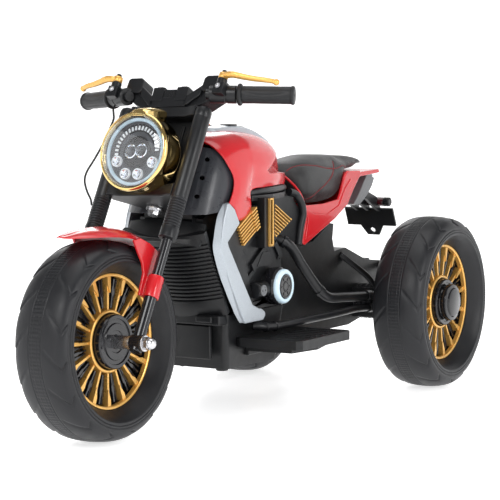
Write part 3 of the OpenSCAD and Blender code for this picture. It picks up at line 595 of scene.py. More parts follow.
def rim_gold_face():
    """The gold rings and stepped spokes of one face, towards +x."""
    rings = joined(
        lathe([(101, 16), (101, 23.8), (98.6, 24), (96.8, 22.8), (96.2, 16)], closed=True),
        lathe([(47.2, 6), (47.2, 20.6), (45.4, 22), (43.2, 22), (42.2, 20.8), (42.2, 6)],
              closed=True))
    low = [(46, -1.9), (70, -2.0), (97, -2.6), (97, 2.6), (80, 2.3), (46, 1.9)]
    high = [(72, -2.2), (75, -3.5), (97.5, -3.9), (97.5, 3.9), (87, 3.6), (84, 2.4)]
    spokes = []
    for k in range(TREAD_BLOCKS):
        turn = turned(360 / TREAD_BLOCKS * k, "X")
        spokes.append(moved(plate(low, 5.5, 18.0), turn))
        spokes.append(moved(plate(high, 6.0, 20.4), turn))
    return joined(rings, *spokes)


def rim_black_face(capped):
    """The web, fins and stepped hub of one face, towards +x."""
    hub_top = 31 if capped else 34
    hub = lathe([(41, 4), (41, hub_top - 2.5), (39.4, hub_top), (34.5, hub_top),
                 (33.6, hub_top - 2.2), (28, hub_top - 2.2), (27, hub_top), (17, hub_top),
                 (16, hub_top - 1.6), (11, hub_top - 1.6), (10, hub_top), (6.1, hub_top),
                 (6.1, 4)], closed=True)
    web = lathe([(41, 0), (41, 5), (98, 5), (98, 0)], closed=True)
    barrel = lathe([(101, 0), (101, 17), (97.6, 17), (97.6, 0)], closed=True)
    fins = []
    for k in range(TREAD_BLOCKS):
        for j, (top, width) in enumerate(((13.5, 1.1), (15.5, 1.4), (13.5, 1.1))):
            turn = turned(360 / TREAD_BLOCKS * (k + 0.25 + 0.25 * j), "X")
            zigzag = [(50, -width), (66, -width), (69, -width - 1.3), (77, -width - 1.3),
                      (80, -width), (94, -width - 0.5), (94, width + 0.5), (84, width),
                      (81, width + 1.1), (72, width + 1.1), (69, width), (50, width)]
            fins.append(moved(plate(zigzag, 4.5, top), turn))
    return joined(hub, web, barrel, *fins)


def both_faces(shape):
    return joined(shape, moved(shape, Matrix.Diagonal((-1, 1, 1, 1))))


def make_wheel(word, place, body, capped):
    names = {"front": ("front_tyre", "front_rim")}.get(
        word, ("rear_tyre_" + word, "rear_rim_" + word))
    build("tyre_" + word, tyre_shape(), TYRE, body, place, smooth=50,
          stands_for=[names[0]])
    build("rim_gold_" + word, both_faces(rim_gold_face()), GOLD, body, place, bevel=0.45,
          stands_for=[names[1]])
    build("rim_black_" + word, both_faces(rim_black_face(capped)), GLOSS, body, place, bevel=0.4,
          stands_for=[names[1]])


REAR_CAP = [(0, 48), (21, 48), (24.5, 46.6), (26, 44.2), (31.2, 43), (32, 41.6), (32, 34.3),
            (24, 34.3), (24, 45), (0, 45)]
# turned a few degrees so that no spoke stands exactly upright
FRONT_TURN, REAR_TURN = 4, 9

make_wheel("front", FORK @ turned(FRONT_TURN, "X"), "front_wheel", False)
for side, word in SIDES:
    centre = Vector(JOINTS["rear_spin_" + word]["pos_m"])
    hub = mirrored(Matrix.Translation(centre) @ ROW, side)
    make_wheel(word, hub @ turned(REAR_TURN, "X"), "rear_wheel_" + word, True)
    build("hub_cap_" + word, lathe(REAR_CAP, 64), GLOSS, "rear_wheel_" + word, hub,
          stands_for=["rear_cap_" + word])


# ------------------------------------------------------------------ fork

FORK_X = 72
GAITER_RINGS = 11

fork_tube = joined(
    lathe_z([(0, -14), (8.3, -14), (9.5, -12.8), (9.5, 70)], 48),
    lathe_z([(9.5, 70), (9.5, 108), (8, 108.6), (8, 178)], 48),
    lathe([(6.05, -9), (11.8, -9), (12.5, -8.2), (12.5, 11.2), (11.8, 12), (6.05, 12)], 40,
          closed=True))
fork_collar = lathe_z([(8, 168), (12.8, 168), (14, 169.2), (14, 186), (13.2, 187.6), (12, 188),
                       (8, 188)], 48)
gaiter_profile = [(8, 187.5)]
for ring in range(GAITER_RINGS):
    low = 188 + 4.3 * ring
    gaiter_profile += [(11.8, low), (12.6, low + 0.5), (13.3, low + 1.7), (13.3, low + 2.5),
                       (12.5, low + 3.8)]
gaiter_profile += [(12, 236), (8, 236)]
fork_cover = lathe_z([(8, 234), (12.4, 234.6), (12.95, 236), (12.95, 371), (12.6, 372.2),
                      (12.6, 373), (12.95, 374), (12.95, 383), (11.6, 387.6), (8.4, 390.2),
                      (0, 391)], 56)

for side, word in SIDES:
    leg = mirrored(FORK, side) @ at(FORK_X, 0, 0)
    build("fork_tube_" + word, fork_tube, GLOSS, "steering", leg,
          stands_for=["fork_" + word])
    build("fork_collar_" + word, fork_collar, SATIN, "steering", leg,
          stands_for=["fork_" + word])
    build("fork_gaiter_" + word, lathe_z(gaiter_profile, 48), GAITER, "steering", leg, smooth=50,
          stands_for=["fork_" + word])
    build("fork_cover_" + word, fork_cover, SATIN, "steering", leg,
          stands_for=["fork_" + word])

acorn = joined(
    lathe([(6.05, 84.3), (11.4, 84.3), (12, 84.8), (12, 86.0), (11.4, 86.5), (6.05, 86.5)], 48,
          closed=True),
    lathe([(0, 86.9), (10, 86.9), (10, 94.0), (8.8, 95.2)], 6),
    lathe([(8.6, 94), (8.4, 97), (7.2, 100.3), (5.0, 102.7), (2.4, 103.8), (0, 104)], 40))
build("axle_nut_pair", joined(acorn, moved(acorn, Matrix.Diagonal((-1, 1, 1, 1)))), STEEL,
      "steering", FORK, stands_for=["axle_nuts"])
dress("front_axle", STEEL, 0.3)
dress("rear_axle", STEEL, 0.4)
dress("steering_column", STEEL, 0.4)

yoke = [(-62, -10), (-52, -8), (-40, -4), (40, -4), (52, -8), (62, -10), (62, 12), (34, 33),
        (14, 48.5), (-14, 48.5), (-34, 33), (-62, 12)]
for word, low, high in (("lower", 238.2, 258), ("upper", 374, 392)):
    build("yoke_" + word, deck(yoke, low, high), SATIN, "steering", FORK, bevel=2.0,
          stands_for=["fork_yokes"])
# the panel behind the lamp, with its folded edges and a raised rib on each side
panel_parts = [block((-52, 14, 257), (52, 20, 375))]
for side in (1, -1):
    x0, x1 = sorted((side * 47, side * 52))
    panel_parts.append(block((x0, 10, 257), (x1, 26, 375)))
    x0, x1 = sorted((side * 30, side * 36))
    panel_parts.append(block((x0, 11.5, 264), (x1, 15, 366)))
    x0, x1 = sorted((side * 53, side * 58))
    panel_parts.append(block((x0, 4, 262), (x1, 22, 370)))
build("lamp_backplate", joined(*panel_parts), BLACK, "steering", FORK, bevel=1.2,
      stands_for=["fork_yokes"])
dress("head_tube", SATIN, 1.0)


# ------------------------------------------------------------------ handlebar, grips and levers

BAR_IN = Vector((88, -2, 413))
BAR_RUN = Vector((108, 42, 18))
BAR_LENGTH = BAR_RUN.length
BAR_PLACE = at(*BAR_IN) @ Vector((0, 0, 1)).rotation_difference(BAR_RUN).to_matrix().to_4x4()


def bar_wing():
    """One half of the cast handlebar: it rises from the clamp to the block on its outer end."""
    wing = [(18, 393), (48, 393), (66, 401), (88, 417), (88, 428), (60, 426), (34, 410), (18, 410)]
    upper = [(28, 396), (36, 396), (58, 414), (58, 431), (32, 412), (28, 412)]
    head = [(57, 423), (61, 419), (87, 419), (89, 423), (88, 443), (84, 446), (63, 446), (58, 442)]
    lay = turned(90, "X") @ Matrix.Diagonal((1, 1, -1, 1))
    return joined(moved(deck(wing, 2, 32), lay), moved(deck(upper, -3, 12), lay),
                  moved(deck(head, -4, 26), lay))


def bar_clamp():
    """The two raised clamps on the middle, and the ribbed pad between them."""
    parts = [block((-34, -3, 393), (34, 33, 410)), block((-11, -3.6, 408), (11, 33, 423))]
    for side in (1, -1):
        x0, x1 = sorted((side * 12, side * 33))
        parts.append(block((x0, -4, 404), (x1, 33.6, 427)))
        x0, x1 = sorted((side * 17, side * 28))
        parts.append(block((x0, -2, 426), (x1, 30, 429)))
    for k in range(6):
        parts.append(block((-8.5 + 3 * k, -4.4, 411), (-7.2 + 3 * k, -3.4, 421)))
    return joined(*parts)


build("handlebar_clamp", bar_clamp(), SATIN, "steering", FORK, bevel=1.0,
      stands_for=["handlebar"])
stem_boss = moved(lathe_z([(8.05, 392.2), (14, 392.2), (15, 393.2), (15, 412.6), (13.4, 414.2),
                           (8.05, 414.2)], 48, closed=True), at(0, STEER_BACK, 0))
build("handlebar_stem", stem_boss, SATIN, "steering", FORK,
      stands_for=["handlebar"])

perch_bolt = bolt((101, -22, 417), (0, -1, 0), 3.2, 2)
grip_rows = [(8.06, 34.2), (15.8, 34.2), (17, 35.2), (17, 38.6), (15.6, 39.8), (13.2, 41)]
for k in range(24):
    z = 42 + k * (BAR_LENGTH - 44) / 23
    grip_rows.append((13.5, z))
grip_rows += [(13.5, BAR_LENGTH - 1), (14.5, BAR_LENGTH), (14.5, BAR_LENGTH + 2.6),
              (13.4, BAR_LENGTH + 4), (2.2, BAR_LENGTH + 4), (2.0, BAR_LENGTH - 2),
              (0, BAR_LENGTH - 2)]


def grip_shape():
    """A grip with long grooves that swell apart around a smooth palm patch."""
    segments = 96
    points = []
    for r, z in grip_rows:
        run = (z - 44) / (BAR_LENGTH - 48)
        grooved = 0 < run < 1 and r > 13.4
        for k in range(segments):
            a = 2 * math.pi * k / segments
            depth = 0.0
            if grooved:
                swell = 0.35 * math.sin(math.pi * run)
                wave = math.cos(6 * (a + swell * math.sin(2 * a)))
                depth = 0.9 * max(0.0, wave - 0.55) / 0.45 * min(1, 8 * min(run, 1 - run))
            points.append(((r - depth) * math.cos(a), (r - depth) * math.sin(a), z))
    return points, grid_faces(len(grip_rows), segments)


bar_sleeve = lathe_z([(8, -10), (13, -10), (14, -9), (14, 14), (13.2, 14.8), (13.2, 17), (14, 17.8),
                      (14, 31), (13, 32), (8, 32)], 48, closed=True)
bar_core = lathe_z([(0, -16), (8, -16), (8, BAR_LENGTH - 2.2), (0, BAR_LENGTH - 2.2)], 40)
perch = joined(
    tube([(101, 0, 415), (101, -7, 419), (101, -14, 423)], [9, 8.5, 8], 24, 3),
    moved(lathe_z([(0, -5), (7.2, -5), (8, -4), (8, 7), (7.2, 8), (2, 8), (2, 20), (4, 20),
                   (4, 22.6), (3, 23), (0, 23)], 40), at(101, -14, 424)),
    block((92, -21, 405), (110, -9, 424)))
LEVER_ROUTE = [(101, -14, 437), (110, -17.5, 437.4), (121, -17.5, 437.6), (136, -12.5, 436.4),
               (152, -7, 435.6), (168, -2, 435.6), (179, 3, 436), (185, 7, 436)]
LEVER_RADII = [5.6, 6.2, 6.2, 5.6, 5.2, 4.8, 4.4, 4.2]
lever = joined(
    tube(LEVER_ROUTE, LEVER_RADII, 20, 5, flat=0.78),
    ball(LEVER_ROUTE[-1], 5.0),
    moved(lathe_z([(2.06, -4.6), (6.6, -4.6), (7.5, -3.8), (7.5, 4.2), (6.6, 5), (2.06, 5)], 40,
                  closed=True), at(101, -14, 437)))

for side, word in SIDES:
    hand = mirrored(FORK, side)
    build("handlebar_wing_" + word, bar_wing(), SATIN, "steering", hand, bevel=1.8,
          stands_for=["handlebar"])
    build("bar_sleeve_" + word, joined(bar_sleeve, bar_core), SATIN, "steering", hand @ BAR_PLACE,
          stands_for=["handlebar"])
    build("lever_perch_" + word, perch, SATIN, "steering", hand, bevel=0.8,
          stands_for=["handlebar"])
    build("perch_bolt_" + word, perch_bolt, STEEL, "steering", hand,
          stands_for=["handlebar"])
    build("grip_rubber_" + word, grip_shape(), RUBBER, "steering", hand @ BAR_PLACE, smooth=60,
          stands_for=["grip_" + word])
    build("brake_lever_" + word, lever, GOLD, "lever_" + word, hand, smooth=60,
          stands_for=["lever_" + word])

CABLE_R = 1.6
CABLE_ROUTE = [(-104, 0, 399.5), (-103, -2, 391), (-94, -9, 380), (-86, -14, 366),
               (-86, -17, 345), (-90, -17, 320), (-101, -13, 296), (-109, -12, 276),
               (-108, -12, 260), (-99, -10, 243), (-91, -5, 231), (-88.4, -2, 222)]
build("brake_cable_sheath", tube(CABLE_ROUTE, CABLE_R, 12, 4), RUBBER, "steering", FORK, smooth=60,
      stands_for=["brake_cable"])


# ------------------------------------------------------------------ headlamp

lamp_shell = lathe_z([(50, -36), (55.5, -42.6), (57.6, -43), (59.2, -41.6), (60.2, -36),
                      (60.9, -12), (61.2, -5), (62, -3.4), (62, 1.4), (60.8, 3.2), (58.6, 4.2),
                      (57.8, 3.2), (57.8, -4.5), (54.4, -29), (51, -38)], 128, closed=True)
lamp_bowl = lathe_z([(54.6, -41), (53.4, -45.4), (45.6, -50.8), (24, -54.8), (0, -55), (0, -51.4),
                     (22, -51.2), (41, -46.5), (49.6, -40)], 128)


def lamp_visor():
    """The gold bridge over the top of the lamp."""
    rings = []
    for z, half, high in ((-46, 21, 72), (-44, 22, 77), (-36, 22, 77.5), (-14, 18, 71),
                          (-1, 14, 66), (0.5, 13, 63.5)):
        row = []
        for k in range(13):
            x = half * (k / 6 - 1)
            row.append((x, high - 3.0 * (x / half) ** 4 - 0.008 * x * x, z))
        low = [(half * (1 - k / 6), 55, z) for k in range(13)]
        rings.append(row + low)
    return loft(rings)


build("lamp_shell", lamp_shell, CHROME, "steering", LAMP, smooth=40,
      stands_for=["lamp_housing"])
build("lamp_visor", lamp_visor(), CHROME, "steering", LAMP, bevel=0.8, smooth=40,
      stands_for=["lamp_housing"])
build("lamp_bowl", joined(lamp_bowl, lathe_z([(0, -61), (8, -61), (8, -52)], 32)), SATIN,
      "steering", LAMP, smooth=40, stands_for=["lamp_housing"])

lamp_floor = lathe_z([(0, -9.4), (44, -9.4), (46, -8.6), (47.4, -6.0), (47.4, -9.8), (0, -9.9)],
                     128)
build("lamp_face_plate", lamp_floor, FACE, "steering", LAMP, smooth=40,
      stands_for=["lamp_face"])
halo_ring = lathe_z([(47.6, -9), (47.6, -4.2), (48.6, -3.2), (52.2, -3.2), (53.2, -4.2),
                     (53.2, -9)], 128, closed=True)
build("lamp_halo", halo_ring, HALO, "steering", LAMP, smooth=40,
      stands_for=["lamp_face"])
dark_ring = lathe_z([(53.3, -9), (53.3, -6.4), (57.4, -4.2), (57.4, -9)], 128, closed=True)
build("lamp_rim_seat", dark_ring, GLOSS, "steering", LAMP, smooth=40,
      stands_for=["lamp_face"])

LED_COUNT = 21
LED_FROM, LED_TO = 5, 193       # degrees round the dial, over the top
led_bars, led_cells = [], []
for k in range(LED_COUNT):
    a = LED_FROM + (LED_TO - LED_FROM) * k / (LED_COUNT - 1)
    spin = turned(a, "Z")
    led_bars.append(moved(block((33.5, -1.5, -9.4), (43.0, 1.9, -7.4)), spin @ turned(14, "Y")
                          @ at(2.2, 0, 9.0)))
    led_cells.append(moved(block((32.0, -2.3, -9.5), (44.2, 2.7, -8.7)), spin))
build("lamp_led_bars", joined(*led_bars), LED, "steering", LAMP, bevel=0.4,
      stands_for=["lamp_face"])
build("lamp_led_trays", joined(*led_cells), GLOSS, "steering", LAMP, bevel=0.3,
      stands_for=["lamp_face"])

bowl_profile = [(0, -9.0), (3.6, -8.4), (6.0, -6.6), (6.9, -5.4), (7.5, -5.4), (7.5, -9.5)]
small_lights, small_rings = [], []
for x, y in ((-34, -14), (-15.5, -33.5), (8, -34), (33, -16)):
    dish = lathe_z(bowl_profile, 24)
    petals = [moved(block((1.4, -0.35, -8.9), (5.6, 0.35, -6.8)), turned(360 / 9 * k, "Z"))
              for k in range(9)]
    small_lights.append(moved(joined(dish, ball((0, 0, -8.2), 1.7), *petals), at(x, y, 0)))
    small_rings.append(moved(lathe_z([(7.5, -9.5), (7.5, -4.9), (8.6, -4.9), (8.9, -9.5)], 40,
                                     closed=True), at(x, y, 0)))
build("lamp_spot_dishes", joined(*small_lights), REFLECTOR, "steering", LAMP, smooth=50,
      stands_for=["lamp_face"])
build("lamp_spot_rings", joined(*small_rings), LED, "steering", LAMP,
      stands_for=["lamp_face"])

projector_parts, prism_parts = [], []
for x, y, r in ((-9.5, 1, 9.5), (10.5, 2, 9.5)):
    projector_parts.append(moved(lathe_z([(r + 1.4, -9.5), (r + 1.4, -5.6), (r, -4.6),
                                          (r * 0.9, -6.5), (r * 0.6, -8.2), (0, -9)], 40),
                                 at(x, y, 0)))
    facets = lathe_z([(r * 0.88, -6.8), (r * 0.86, -4.4), (r * 0.6, -2.6), (r * 0.25, -1.6),
                      (0, -1.5)], 8)
    prism_parts.append(moved(facets, at(x, y, 0) @ turned(22.5, "Z")))
    for left in (3 * k - r * 0.5 for k in range(3)):
        prism_parts.append(moved(block((left, -r * 0.5, -5), (left + 1, r * 0.5, -1.2)),
                                 at(x, y, 0)))
build("lamp_projectors", joined(*projector_parts), REFLECTOR, "steering", LAMP, smooth=50,
      stands_for=["lamp_face"])
build("lamp_prisms", joined(*prism_parts), GLASSY, "steering", LAMP, smooth=15,
      stands_for=["lamp_face"])
build("lamp_centre_pod", lathe_z([(0, -9.4), (25.5, -9.4), (24.5, -8.2), (22.5, -7.6), (0, -7.6)],
                                 64), GLOSS, "steering", LAMP, smooth=40,
      stands_for=["lamp_face"])

LENS_R = 57.6
dome = [(LENS_R * math.cos(math.radians(a)), 2 + 12 * math.sin(math.radians(a)))
        for a in range(0, 91, 6)]
inner_dome = [((LENS_R - 1.6) * math.cos(math.radians(a)), 1.4 + 11 * math.sin(math.radians(a)))
              for a in range(90, -1, -6)]
lens = lathe_z([(LENS_R, -3.6)] + dome + inner_dome + [(LENS_R - 1.6, -3.6)], 128, closed=True)
build("lamp_dome", lens, LENS, "steering", LAMP, smooth=60,
      stands_for=["lamp_lens"])


# ------------------------------------------------------------------ front mudguard

FENDER_ROWS = [(14, 165, 55), (-6, 166.6, 56), (-30, 165.6, 56), (-57, 160, 54), (-80, 150, 49),
               (-102, 137, 41), (-122, 123, 29), (-138, 110.5, 16), (-148, 103.5, 8),
               (-153, 101, 4)]


def fender_shape():
    """The blade over the tyre: a crease along the middle, rolled edges and a pointed nose."""
    rings = []
    for y, z, half in spline(FENDER_ROWS, 4):
        over, under = [], []
        for k in range(-12, 13):
            u = k / 12
            drop = 16 * abs(u) ** 3 * half / 56 + 1.6 * abs(u) * (1 - abs(u))
            crown = 1.2 * math.exp(-(u / 0.16) ** 2)
            over.append((half * u, y, z - drop + crown - 1.2))
            under.append((half * u * 0.965, y, z - drop - 3.0))
        rings.append(over + under[::-1])
    return loft(rings)


fender_arm = [(-58, 139), (-44, 149), (-20, 152), (4, 150), (9, 128), (12, 106), (13, 74),
              (-10, 72), (-12, 90), (-14, 106), (-24, 118), (-38, 126)]
clamp_ring = moved(lathe_z([(9.56, 72), (11.6, 72), (12.2, 72.8), (12.2, 105), (11.6, 106),
                            (9.56, 106)], 40, closed=True), at(FORK_X, 0, 0))
build("mudguard_blade", fender_shape(), RED, "steering", FORK, smooth=50,
      stands_for=["front_fender"])
for side, word in SIDES:
    arm = joined(plate(fender_arm, 54, 58.5), block((56, -8, 73), (62.5, 8, 105)))
    build("mudguard_arm_" + word, arm, RED, "steering", mirrored(FORK, side), bevel=1.4,
          stands_for=["front_fender"])
    build("mudguard_clamp_" + word, clamp_ring, RED, "steering", mirrored(FORK, side),
          stands_for=["front_fender"])


# ------------------------------------------------------------------ body and front panel

def net(rows, along=5, across=5):
    """A smooth sheet through a net of given points."""
    fine_rows = [spline(row, across) for row in rows]
    columns = [spline([row[k] for row in fine_rows], along) for k in range(len(fine_rows[0]))]
    return [[columns[k][i] for k in range(len(columns))] for i in range(len(columns[0]))]


def sheet_shape(grid):
    points = [tuple(p) for row in grid for p in row]
    return points, grid_faces(len(grid), len(grid[0]), wrap_columns=False)


for word in ("left", "right"):
    dress("body_" + word, BLACK, 1.2)
    dress("scoop_" + word, GREY, 0.5)
    dress("footboard_" + word, BLACK, 1.6)
    dress("gearbox_" + word, CASING, 1.5)
dress("front_panel", BLACK, 0.5)
dress("belly_tray", BLACK, 1.2)
dress("battery", CASING, 1.0)
dress("control_box", CASING, 1.0)
dress("charge_socket", SATIN, 0.4)
dress("foot_pedal", SATIN, 0.7)
dress("rear_housing", BLACK, 2.5)
dress("direction_switch", GLOSS, 0.5)
dress("power_button", ORANGE, 0.8)

# the belly's moulded steps, seams and drain boss
belly_details = [block((-46, -135, 96), (46, -127, 150))]
for side in (1, -1):
    x0, x1 = sorted((side * 64, side * 73.5))
    belly_details.append(block((x0, -60, 96), (x1, 30, 112)))
build("belly_steps", joined(*belly_details), BLACK, "chassis", bevel=2.5)
build("belly_boss", joined(moved(lathe_z([(0, -2), (9, -2), (10, -1), (10, 6), (0, 6)], 32),
                                 at(40, -88, 75)), bolt((-30, -96, 79), (0, 0, -1), 4, 3)),
      SATIN, "chassis")
# the box above it with rounded lugs
build("panel_foot_box", joined(block((-70, -146, 152), (70, -112, 168.5)),
                               block((28, -150, 156), (58, -140, 167))),
      BLACK, "chassis", bevel=3.0)


# ------------------------------------------------------------------ tank, side fairings, console

TANK_NET = [
    [(0, -152, 447), (28, -153, 446), (52, -150, 439), (72, -146, 424), (83, -138, 404),
     (88, -130, 385), (89.5, -133, 366), (90, -147, 346)],
    [(0, -135, 451), (30, -136, 450), (56, -134, 443), (76, -129, 427), (86, -122, 405),
     (90.5, -116, 384), (92, -119, 362), (92, -133, 336)],
    [(0, -112, 454), (31, -112, 453), (59, -110, 446), (79, -106, 430), (87.5, -100, 407),
     (91, -96, 385), (91.5, -101, 357), (91, -117, 317)],
    [(0, -88, 456), (32, -88, 455), (61, -86, 448), (81, -83, 431), (88, -79, 408),
     (89, -79, 386), (88.5, -86, 357), (89, -80, 332)],
    [(0, -68, 457), (32, -68, 456), (62, -67, 449), (82, -66, 431), (88, -66, 409),
     (87, -67, 388), (86, -70, 374), (85, -72, 362)],
    [(0, -30, 456), (32, -30, 455), (62, -30, 447), (81, -30, 428), (87, -30, 406),
     (86, -30, 387), (85.5, -30, 375), (84, -30, 366)],
    [(0, 10, 452), (30, 10, 451), (58, 10, 442), (76, 10, 424), (82, 10, 404), (81.5, 10, 387),
     (81.5, 10, 376), (80, 10, 367)],
    [(0, 45, 444), (26, 45, 443), (50, 45, 434), (66, 45, 417), (73, 45, 400), (73, 45, 386),
     (73, 45, 376), (71.5, 45, 367)],
    [(0, 75, 428), (20, 75, 427), (40, 75, 420), (54, 75, 405), (61, 75, 393), (62, 75, 383),
     (62.5, 75, 375), (61, 75, 366)],
    [(0, 103, 407), (14, 103, 406), (28, 103, 401), (39, 103, 391), (45, 103, 384),
     (46.5, 103, 379), (46.5, 103, 373), (45, 103, 365)],
    [(0, 128, 386), (8, 128, 385.5), (14, 127, 383), (19, 126, 379), (22, 125, 375),
     (22.5, 125, 372), (22.5, 125, 369), (22, 125, 364)],
]


def tank_shape():
    """The tank with its side fairings in one skin, and an intake notch near its back."""
    grid = net(TANK_NET, along=8, across=6)
    for row in grid:
        for p in row:
            x, y, z = p
            lip = 388 - 0.05 * (y - 20)
            rise = 38 * min(1, (y + 26) / 72)
            if y > -26 and lip < z < lip + rise:
                p[0] = x * (1 - 0.24 * min(1, (y + 26) / 44) * (1 - (z - lip) / rise))
    return sheet_shape(grid)


half_tank = tank_shape()
build("tank_skin", joined(half_tank, moved(half_tank, Matrix.Diagonal((-1, 1, 1, 1)))), RED,
      "chassis", smooth=45, shell=2.2,
      stands_for=["tank_cover", "fairing_left", "fairing_right"])

# the black rim that shows under the tank's lower edge
RIM_ROUTE = [(80, -74, 358), (81.5, -30, 360), (77.5, 10, 360.5), (69, 45, 360.5), (58.5, 75, 360),
             (43, 103, 359.5), (21, 122, 359), (0, 127, 358.6)]
half_rim = tube(RIM_ROUTE, 5.6, 20, 6)
build("tank_rim", joined(half_rim, moved(half_rim, Matrix.Diagonal((-1, 1, 1, 1)))), SATIN,
      "chassis", smooth=60)

CONSOLE_LINE = [(-92, 454), (-86, 460), (-74, 462.6), (-30, 465), (20, 461.5), (58, 450.5),
                (82, 440), (90, 434)]


def console_shape():
    rings = []
    for i, (y, z) in enumerate(spline(CONSOLE_LINE, 3)):
        end = min(1, 0.72 + 0.12 * min(i, 21 - i))
        half = 27 * end
        over = [(half * u, y, z - 2.6 * abs(u) ** 4 - 1.0 * u * u)
                for u in (k / 8 for k in range(-8, 9))]
        rings.append(over + [(half, y, z - 16), (-half, y, z - 16)])
    return loft(rings)


build("console_cover", console_shape(), SILVER, "chassis", smooth=50, bevel=0.6,
      stands_for=["console"])
switch_low, switch_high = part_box("direction_switch")
button_low, button_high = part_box("power_button")
switch_mid = (switch_low + switch_high) / 2 / MM
button_mid = (button_low + button_high) / 2 / MM
button_bezel = moved(lathe_z([(7.4, 455), (7.4, 464.6), (8.2, 465.4), (9.6, 465.2), (10.4, 463),
                              (10.4, 455)], 40, closed=True), at(button_mid.x, button_mid.y, 0))
build("button_bezel", button_bezel, GLOSS, "chassis", stands_for=["console"])
bezel_parts = []
for x0, x1, y0, y1 in ((-8, -5.6, -12, 12), (5.6, 8, -12, 12), (-8, 8, -12, -10.2),
                       (-8, 8, 10.2, 12)):
    bezel_parts.append(block((switch_mid.x + x0, switch_mid.y + y0, 456),
                             (switch_mid.x + x1, switch_mid.y + y1, 466.4)))
build("switch_bezel", joined(*bezel_parts), GLOSS, "chassis", bevel=0.6,
      stands_for=["console"])
# a round cap with grip ribs behind the rocker
cap_profile = [(0, 3.2), (9, 3.0), (10.6, 2.4), (11.2, 1.0), (13.6, 0.8), (14.2, -0.2), (14.2, -3)]
cap_place = at(0, 34, 457.6) @ turned(-16, "X")
build("filler_cap", moved(lathe_z(cap_profile, 48), cap_place), SATIN, "chassis",
      stands_for=["console"])
build("filler_cap_grips", moved(joined(*[moved(block((9.8, -0.7, 0), (12.2, 0.7, 2.6)),
                                               turned(30 * k, "Z")) for k in range(12)]),
                                cap_place), SATIN, "chassis", bevel=0.3,
      stands_for=["console"])


# ------------------------------------------------------------------ strakes

STRAKE_SIDE = [(-154, 346), (-147, 345), (-133, 336), (-118, 313), (-154, 285.5), (-151, 279),
               (-78, 181), (-58, 173.5), (-50, 172.5), (-39, 166), (-38, 160), (-45, 153),
               (-100, 153), (-112, 168), (-152, 229), (-173, 273), (-173, 292), (-165, 322)]
STRAKE_FRONT = [(-154, 346), (-164, 335), (-172, 322), (-181, 292), (-181.5, 273), (-160, 230),
                (-118, 171), (-101, 154)]


def strake_front():
    """The bevelled leading face of a strake, turned in towards the front panel."""
    rings = []
    for i, (y, z) in enumerate(spline(STRAKE_FRONT, 2)):
        depth = min(1.0, 0.3 + i / 4)
        rings.append([(91.6, y + 9.5 * depth, z), (80.5, y + 0.5, z - 1), (80, y + 10, z + 1),
                      (88, y + 14, z + 1)])
    return loft(rings)


strip = [(-117, 311), (-104, 277), (-68, 186), (-78, 182), (-150, 279), (-152.5, 285)]
for side, word in SIDES:
    flank = mirrored(ROW, side)
    build("strake_side_" + word, plate(STRAKE_SIDE, 85.5, 91.8), SILVER, "chassis", flank,
          bevel=1.6, stands_for=["strake_" + word])
    build("strake_edge_" + word, strake_front(), SILVER, "chassis", flank, smooth=30, bevel=0.8,
          stands_for=["strake_" + word])
    build("strake_strip_" + word, plate(strip, 82, 87.2), BLACK, "chassis", flank, bevel=0.8,
          stands_for=["strake_" + word])


# ------------------------------------------------------------------ engine dress

def slat(start, angle, length, x0, x1, thick, tip=0.0):
    """A fin along "angle" degrees up from the y axis, with a swollen end when tip is given."""
    bar = block((x0, 0, 0), (x1, length, thick))
    parts = [bar]
    if tip:
        bead = lathe_z([(0, -tip), (tip * 0.8, -tip * 0.9), (tip, 0), (tip * 0.8, tip * 0.9),
                        (0, tip)], 16)
        parts.append(moved(bead, at(x1 - tip * 0.6, length - tip, thick / 2)))
    return moved(joined(*parts), at(0, *start) @ turned(angle, "X"))


front_fins, rear_fins = [], []
FRONT_ANGLE, REAR_ANGLE = 29, -27
FIN_PITCH = 5.4         # from one front fin to the next, across the fins
for i in range(7):
    y = -106.0 - FIN_PITCH * i * math.sin(math.radians(FRONT_ANGLE))
    z = 277.0 + FIN_PITCH * i * math.cos(math.radians(FRONT_ANGLE))
    front_fins.append(slat((y, z), FRONT_ANGLE, 42 + 2.6 * i, 85, 92.4, 2.2))
    front_fins.append(slat((y + 43 * 0.87, z + 43 * 0.48), FRONT_ANGLE, 13 + 0.8 * i, 85, 94.2,
                           2.4, 1.6))
for i in range(9):
    y = -10.5 - 2.16 * i * math.sin(math.radians(REAR_ANGLE))
    z = 291 + 5.6 * i
    rear_fins.append(slat((y, z), REAR_ANGLE, 15 + 5.7 * i, 83, 89.5, 1.6, 1.6))
front_back = [(-128, 298), (-56, 338), (-56, 300), (-107, 275)]
rear_back = [(-14, 345), (44, 322), (50, 312), (6, 281), (-14, 288)]
slot_parts = [block((97.6, y0, z0), (101.4, y1, z1))
              for y0, z0, y1, z1 in ((-41, 272, -38.4, 349), (-30.6, 272, -28, 349),
                                     (-41, 272, -28, 275), (-41, 346, -28, 349))]
